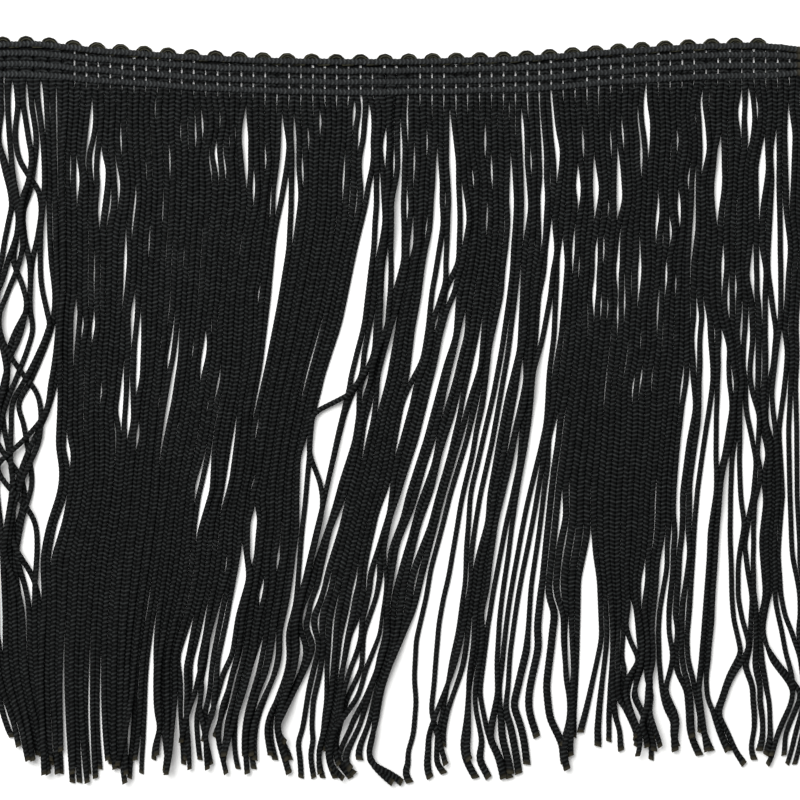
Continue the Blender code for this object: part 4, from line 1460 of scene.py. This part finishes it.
@dataclass(frozen=True)
class KnitShading:
    """The shared shading of yarn: a painted highlight on the crests or plies, fine fibres and the cut
    end.

    Each pair is the value at a share of none, and how much more there is at a share of one.
    """

    name: str = "knit_shading"
    stitch_spread: float = 977.0
    thread_spread: float = 91.0
    fibres_across: float = 5.0
    fibres_along: float = 2.2
    fibre_scale: float = 1.6
    fibre_detail: float = 3.0
    # the painted highlight on the crests and along the plies
    stitch_highlight: tuple[float, float] = (0.25, 0.75)
    crest_sharpness: float = 2.4
    crest_fibres: tuple[float, float] = (0.2, 1.2)
    ply_turn: float = 0.16
    ply_slant: float = 1.05
    ply_sharpness: float = 2.2
    ply_fibres: tuple[float, float] = (0.1, 1.4)
    fibre_height: float = 0.6
    crest_height: float = 0.4
    cut_length: float = 0.0012

    def tree(self) -> bpy.types.NodeTree:
        """Builds the node group once, and finds it again after that.

        Returns:
            The group, with the outputs Crest, Plies, Height and Cut End.
        """
        if self.name in bpy.data.node_groups:
            return bpy.data.node_groups[self.name]
        tree = bpy.data.node_groups.new(self.name, "ShaderNodeTree")
        for output in ("Crest Highlight", "Ply Highlight", "Height", "Cut End"):
            new_socket(tree, output, "Float", output=True)
        graph = Graph(tree)
        read = {
            key: graph.add("ShaderNodeAttribute", attribute_name=key).outputs["Fac"]
            for key in ("stitch", "side", "tone", "from_end")
        }
        wave = graph.math("COSINE", graph.math("MULTIPLY", read["stitch"], math.tau))
        crest = graph.ranged(wave, (0.5, 0.5))
        fibres = self.fibres(graph, read)
        painted_highlight = self.painted_crest_highlight(graph, read, crest, fibres)
        plies = self.painted_ply_highlight(graph, read, fibres)
        lift = graph.math("MULTIPLY", crest, self.crest_height)
        height = graph.math("MULTIPLY_ADD", fibres, self.fibre_height, lift)
        cut = graph.math("DIVIDE", read["from_end"], self.cut_length)
        cut = graph.math("SUBTRACT", 1.0, cut)
        graph.add(
            "NodeGroupOutput",
            {
                "Crest Highlight": graph.math("MINIMUM", painted_highlight, 1.0),
                "Ply Highlight": graph.math("MINIMUM", plies, 1.0),
                "Height": height,
                "Cut End": graph.math("MAXIMUM", cut, 0.0),
            },
        )
        return tree

    def fibres(self, graph: Graph, read: dict[str, bpy.types.NodeSocket]) -> bpy.types.NodeSocket:
        """Fine fibres that run along the yarn.

        Args:
            graph: The tree being built.
            read: The cord's attributes.

        Returns:
            How light each spot's fibres are.
        """
        thread = graph.add(
            "ShaderNodeCombineXYZ",
            {
                0: graph.math("MULTIPLY", read["side"], self.fibres_across),
                1: graph.math("MULTIPLY", read["stitch"], self.fibres_along),
                2: graph.math("MULTIPLY", read["tone"], self.thread_spread),
            },
        ).outputs[0]
        return graph.add(
            "ShaderNodeTexNoise",
            {"Vector": thread, "Scale": self.fibre_scale, "Detail": self.fibre_detail},
        ).outputs["Fac"]

    def painted_crest_highlight(
        self,
        graph: Graph,
        read: dict[str, bpy.types.NodeSocket],
        crest: bpy.types.NodeSocket,
        fibres: bpy.types.NodeSocket,
    ) -> bpy.types.NodeSocket:
        """Paints a highlight on the crest of each stitch, brighter on some than others.

        Args:
            graph: The tree being built.
            read: The cord's attributes.
            crest: How near a spot is to the crest of its stitch.
            fibres: How light its fibres are.

        Returns:
            How strongly each spot takes the painted highlight.
        """
        row = graph.math("FLOOR", graph.math("ADD", read["stitch"], 0.5))
        half = graph.math("SIGN", read["side"])
        cord = graph.math("MULTIPLY", read["tone"], self.stitch_spread)
        seat = graph.add("ShaderNodeCombineXYZ", {0: row, 1: half, 2: cord}).outputs[0]
        speck = graph.add("ShaderNodeTexWhiteNoise", {"Vector": seat}).outputs["Value"]
        sharp = graph.math("POWER", crest, self.crest_sharpness)
        painted_highlight = graph.math("MULTIPLY", sharp, graph.ranged(speck, self.stitch_highlight))
        return graph.math("MULTIPLY", painted_highlight, graph.ranged(fibres, self.crest_fibres))

    def painted_ply_highlight(
        self,
        graph: Graph,
        read: dict[str, bpy.types.NodeSocket],
        fibres: bpy.types.NodeSocket,
    ) -> bpy.types.NodeSocket:
        """Lights the plies that slant across the yarn.

        Args:
            graph: The tree being built.
            read: The cord's attributes.
            fibres: How light each spot's fibres are.

        Returns:
            How strongly each spot takes the painted highlight.
        """
        slant = graph.math("MULTIPLY", read["side"], self.ply_slant)
        twist = graph.math("MULTIPLY_ADD", read["stitch"], self.ply_turn, slant)
        plies = graph.math("COSINE", graph.math("MULTIPLY", twist, math.tau))
        plies = graph.math("POWER", graph.ranged(plies, (0.5, 0.5)), self.ply_sharpness)
        return graph.math("MULTIPLY", plies, graph.ranged(fibres, self.ply_fibres))


# ------------------------------------------------------------------ pieces in their places


def settled(piece: bpy.types.Object, node: str) -> bpy.types.Object:
    """Puts a piece in a solid's place, on the trim's one body.

    Args:
        piece: The piece.
        node: The solid that it replaces.

    Returns:
        The piece.
    """
    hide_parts(node)
    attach(piece, BODY)
    return piece


# ------------------------------------------------------------------ the fringe


@dataclass
class Fringe:
    """The strands, in pieces of neighbouring strands of one layer."""

    field: StrandField
    maker: CordMaker
    finish: bpy.types.Material
    gauges: tuple[CordGauge, CordGauge] = (
        CordGauge(unevenness=0.03),
        CordGauge(unevenness=0.03, slant=-0.2),
    )
    spans: tuple[str, ...] = ("left", "middle", "right")
    layer_seed: int = 10

    def build(self) -> list[bpy.types.Object]:
        """Makes the strands of both layers.

        Returns:
            The pieces.
        """
        pieces = []
        count = len(self.field.places)
        for layer, node in enumerate(("fringe_under", "fringe_over")):
            members = np.array_split(np.arange(layer, count, 2), len(self.spans))
            for number, (span, strands) in enumerate(zip(self.spans, members)):
                lines = [self.field.line_of(strand) for strand in strands]
                name = f"{node}_{span}"
                seed = self.layer_seed * layer + number
                piece = self.maker.make(name, lines, self.gauges[layer], self.finish, seed)
                pieces.append(settled(piece, node))
        return pieces


# ------------------------------------------------------------------ the heading


@dataclass
class Heading:
    """The knitted band: rows of chain stitches over the wales, on a thin open ground."""

    trim: TrimFrame
    maker: CordMaker
    finish: bpy.types.Material
    row_heights: tuple[float, ...] = (0.75, 3.0, 5.4)
    row_level: float = 1.0
    end_room: float = 0.25
    step: float = 0.8
    wobble: float = 0.05
    wobble_grain: float = 2.0
    rows_seed: int = 31
    gauge: CordGauge = CordGauge(
        stitch=0.87,
        rings=4,
        width=1.4,
        thickness=0.75,
        lag=0.3,
        slant=0.0,
        waist=0.14,
    )
    ground_level: float = 0.3
    ground_thickness: float = 0.25
    ground_low: float = 0.3
    ground_top: float = 7.2
    slit_half: float = 0.27
    slit_spread: tuple[float, float] = (0.45, 1.15)
    shut_share: float = 0.14
    shut_to: float = 14.0
    slit_seed: int = 41
    slit_end_room: float = 1.0
    row_half: float = 0.5
    least_hem: float = 0.1
    cut_width: float = 10.0

    def ends(self) -> tuple[float, float]:
        """The places of the band's two ends, a little inside the solid's."""
        places, _, _ = self.trim.lie()
        return places[0] + self.end_room, places[-1] - self.end_room

    def row(self, height: float, level: float, seed: int) -> tuple[np.ndarray, np.ndarray]:
        """The line of one row of chain stitches.

        Args:
            height: Its height above the heading's lower edge.
            level: How high its middle lies off the floor.
            seed: Sets its wobble.

        Returns:
            Its points and its radius at each.
        """
        start, end = self.ends()
        places = np.arange(start, end, self.step)
        waves = smooth_noise((1, len(places)), self.wobble_grain, seed)[0] * self.wobble
        ups = self.trim.across(places, height) + waves
        points = np.stack([places, ups, np.full(len(places), level)], axis=1)
        return points, np.ones(len(places))

    def build_rows(self) -> bpy.types.Object:
        """Makes the rows of chain stitches.

        Returns:
            The piece.
        """
        lines = [
            self.row(height, self.row_level, number)
            for number, height in enumerate(self.row_heights)
        ]
        piece = self.maker.make("chain_rows", lines, self.gauge, self.finish, self.rows_seed)
        return settled(piece, "heading")

    def ground_columns(self, wale_gaps: np.ndarray) -> tuple[np.ndarray, np.ndarray]:
        """The ground's columns: those on the wales, and those with the openings between them.

        Args:
            wale_gaps: The places of the slits between the wales.

        Returns:
            The places of the columns' edges, and which openings are shut, with a row for every
            other band.
        """
        start, end = self.ends()
        room = self.slit_end_room
        inside = wale_gaps[(wale_gaps > start + room) & (wale_gaps < end - room)]
        draws = np.random.default_rng(self.slit_seed)
        half = self.slit_half * draws.uniform(*self.slit_spread, len(inside))
        shut = draws.uniform(size=(len(self.row_heights) + 1, len(inside))) < self.shut_share
        shut |= inside < self.shut_to
        edges = np.stack([inside - half, inside + half], axis=1).reshape(-1)
        return np.concatenate([[start], edges, [end]]), shut

    def ground_heights(self) -> list[float]:
        """The heights of the ground's bands.

        Returns:
            The hem, the lower and upper edge under each row of stitches, and the top strip.
        """
        heights = [self.ground_low]
        for height in self.row_heights:
            heights += [height - self.row_half, height + self.row_half]
        heights[1] = max(heights[1], heights[0] + self.least_hem)
        return [*heights, self.ground_top - self.row_half, self.ground_top]

    def build_ground(self, wale_gaps: np.ndarray, finish: bpy.types.Material) -> bpy.types.Object:
        """Makes the open ground that ties the wales together.

        Args:
            wale_gaps: The places of the slits between the wales.
            finish: Its material.

        Returns:
            The piece.
        """
        places, shut = self.ground_columns(wale_gaps)
        heights = self.ground_heights()
        points = []
        for height in heights:
            ups = self.trim.across(places, height)
            level = np.full(len(places), self.ground_level)
            points += list(self.trim.to_world(np.stack([places, ups, level], axis=1)))
        count = len(places)
        faces = []
        for band in range(len(heights) - 1):
            between_rows = band % 2 == 0 and band > 0
            for column in range(count - 1):
                if between_rows and column % 2 == 1 and not shut[band // 2, column // 2]:
                    continue
                low = band * count + column
                faces.append((low, low + 1, low + count + 1, low + count))
        mesh = bpy.data.meshes.new("heading_ground")
        mesh.from_pydata([tuple(point) for point in points], [], faces)
        mesh.materials.append(finish)
        piece = bpy.data.objects.new("heading_ground", mesh)
        bpy.context.scene.collection.objects.link(piece)
        solid = piece.modifiers.new("thickness", "SOLIDIFY")
        solid.thickness = self.ground_thickness * MM
        solid.offset = 0.0
        baked = bpy.data.meshes.new_from_object(
            piece.evaluated_get(bpy.context.evaluated_depsgraph_get())
        )
        piece.modifiers.clear()
        piece.data = baked
        return settled(piece, "heading")

    def cut_size(self) -> tuple[float, float]:
        """The band's cut length and width, in metres."""
        start, end = self.ends()
        return (end - start) * MM, self.cut_width * MM

    def ground_area(self) -> float:
        """The flat area of the ground, in square metres."""
        start, end = self.ends()
        return (end - start) * (self.ground_top - self.ground_low) * MM * MM


@dataclass
class PicotEdge:
    """The scalloped edge: a cord looped up in small arches, tied down by a row of chain."""

    heading: Heading
    finish: bpy.types.Material
    pitch: float = 5.2
    first: float = 0.3
    drift: tuple[tuple[float, float], ...] = (
        (0.0, 0.3),
        (58.0, 0.35),
        (69.0, 0.75),
        (85.0, 1.2),
        (106.0, 1.25),
        (116.0, 1.0),
        (131.0, 0.55),
        (150.0, 0.2),
        (167.0, 0.0),
    )
    foot: float = 7.05
    crest: float = 8.62
    half_width: float = 1.5
    level: float = 0.7
    step: float = 0.12
    arch_points: int = 25
    line_blend: float = 1.6
    curl_length: float = 7.5
    fade: float = 1.6
    cord: CordGauge = CordGauge(
        stitch=0.95,
        rings=4,
        width=1.2,
        thickness=1.0,
        lag=0.35,
        slant=0.0,
        waist=0.12,
    )
    chain_height: float = 7.35
    chain_level: float = 1.0
    cord_seed: int = 41
    row_seed: int = 9
    chain_seed: int = 43

    def cord_line(self) -> tuple[np.ndarray, np.ndarray]:
        """Works out the looped cord's line.

        Returns:
            Its points and its radius at each.
        """
        start, end = self.heading.ends()
        turns = np.linspace(0, math.pi, self.arch_points)
        places, heights = [start], [self.foot]
        first = math.floor((start - self.first) / self.pitch)
        for number in range(first, math.ceil((end - self.first) / self.pitch) + 1):
            middle = self.first + number * self.pitch
            middle += np.interp(middle, *np.array(self.drift).T)
            full = 1 - min(1.0, self.fade * max(0.0, 1 - (end - middle) / self.curl_length))
            for turn in turns:
                place = middle - self.half_width * math.cos(turn)
                if start < place < end:
                    places.append(place)
                    heights.append(self.foot + (self.crest - self.foot) * full * math.sin(turn))
        places.append(end)
        heights.append(self.foot)
        line = np.array([places, heights])
        run = np.concatenate([[0], np.cumsum(np.hypot(*np.diff(line, axis=1)))])
        at = np.arange(0, run[-1], self.step)
        even = smoothed(np.array([np.interp(at, run, row) for row in line]), self.line_blend)
        ups = self.heading.trim.across(even[0], even[1])
        points = np.stack([even[0], ups, np.full(len(at), self.level)], axis=1)
        return points, np.ones(len(at))

    def build(self) -> list[bpy.types.Object]:
        """Makes the looped cord and the chain that ties it down.

        Returns:
            Both pieces.
        """
        heading = self.heading
        make = heading.maker.make
        line = self.cord_line()
        looped = make("picot_loops", [line], self.cord, self.finish, self.cord_seed)
        row = heading.row(self.chain_height, self.chain_level, self.row_seed)
        chain = make("picot_chain", [row], heading.gauge, heading.finish, self.chain_seed)
        return [settled(piece, "picot_edge") for piece in (looped, chain)]


# ------------------------------------------------------------------ the studio


@dataclass(frozen=True)
class Studio:
    """A pale floor, soft light and a camera straight above the trim."""

    view_place: float = 88.0
    view_up: float = -66.88
    view_side: float = 176.0
    lens: float = 150.0
    sensor: float = 36.0
    floor_side: float = 3.0
    floor_tone: float = 0.86
    floor_blue: float = 0.99
    floor_roughness: float = 0.9
    clip_end: float = 20.0
    sky: float = 0.62
    key_power: float = 22.0
    key_side: float = 0.9
    key_place: tuple[float, float, float] = (-0.45, 0.5, 1.1)

    def floor(self) -> None:
        """Lays the floor."""
        half = self.floor_side / 2
        mesh = bpy.data.meshes.new("floor")
        corners = [(-half, -half, 0.0), (half, -half, 0.0), (half, half, 0.0), (-half, half, 0.0)]
        mesh.from_pydata(corners, [], [(0, 1, 2, 3)])
        material = bpy.data.materials.new("floor_paint")
        material.use_nodes = True
        shader = material.node_tree.nodes["Principled BSDF"]
        tone = self.floor_tone
        colour = (tone, tone, tone * self.floor_blue, 1.0)
        shader.inputs["Base Color"].default_value = colour
        shader.inputs["Roughness"].default_value = self.floor_roughness
        mesh.materials.append(material)
        floor = bpy.data.objects.new("floor", mesh)
        bpy.context.scene.collection.objects.link(floor)

    def light(self) -> None:
        """Lights the set from a bright sky and one large soft lamp."""
        scene = bpy.context.scene
        world = bpy.data.worlds.new("studio_sky")
        world.use_nodes = True
        sky = world.node_tree.nodes["Background"]
        sky.inputs["Color"].default_value = (1.0, 1.0, 1.0, 1.0)
        sky.inputs["Strength"].default_value = self.sky
        scene.world = world
        lamp = bpy.data.lights.new("key", "AREA")
        lamp.shape = "SQUARE"
        lamp.size = self.key_side
        lamp.energy = self.key_power
        key = bpy.data.objects.new("key", lamp)
        key.location = self.key_place
        aim = -key.location
        key.rotation_euler = aim.to_track_quat("-Z", "Y").to_euler()
        scene.collection.objects.link(key)
        scene.view_settings.view_transform = "Standard"

    def camera(self, trim: TrimFrame) -> None:
        """Hangs the camera over the trim.

        Args:
            trim: Where the trim lies.
        """
        middle = trim.to_world(np.array([self.view_place, self.view_up, 0.0]))
        data = bpy.data.cameras.new("camera")
        data.lens = self.lens
        data.sensor_width = self.sensor
        data.clip_end = self.clip_end
        camera = bpy.data.objects.new("camera", data)
        height = self.view_side * MM * self.lens / self.sensor
        camera.location = (middle[0], middle[1], height)
        bpy.context.scene.collection.objects.link(camera)
        bpy.context.scene.camera = camera


# ------------------------------------------------------------------ making the scene


def main() -> None:
    """Builds the trim and its studio, piece by piece."""
    logging.basicConfig(level=logging.INFO, format="%(name)s: %(message)s", stream=sys.stdout)
    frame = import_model()
    trim = TrimFrame(frame["nodes"])
    studio = Studio()
    studio.camera(trim)
    studio.floor()
    studio.light()
    maker = CordMaker(trim)
    strands = StrandField(trim)
    fringe_yarn = YarnFinish("fringe_yarn_knit").material()
    # the heading yarn: a lighter black with painted shade in its hollows, and a painted highlight on
    # its crests
    heading_yarn = YarnFinish(
        "heading_yarn_knit", black_with_painted_shade=(0.0098, 0.0104, 0.0107), crest=(0.056, 0.061, 0.062)
    ).material()
    # the picot cord: a painted olive highlight along its plies
    picot_yarn = YarnFinish(
        "picot_cord_yarn", crest=(0.055, 0.053, 0.033), highlight_pattern=HighlightPattern.PLIES
    ).material()
    fringe = Fringe(strands, maker, fringe_yarn).build()
    heading = Heading(trim, maker, heading_yarn)
    rows = heading.build_rows()
    # The ground carries no distance from a cut end, so its cut-end colour covers all of it: the
    # yarn's black, darkened as painted shade between the rows
    ground_yarn = YarnFinish("heading_ground_yarn", cut_end=(0.0012, 0.0013, 0.0013)).material()
    ground = heading.build_ground(strands.wale_gaps(), ground_yarn)
    edge = PicotEdge(heading, picot_yarn).build()
    heading.cut_size()
    heading.ground_area()


if __name__ == "__main__":
    main()
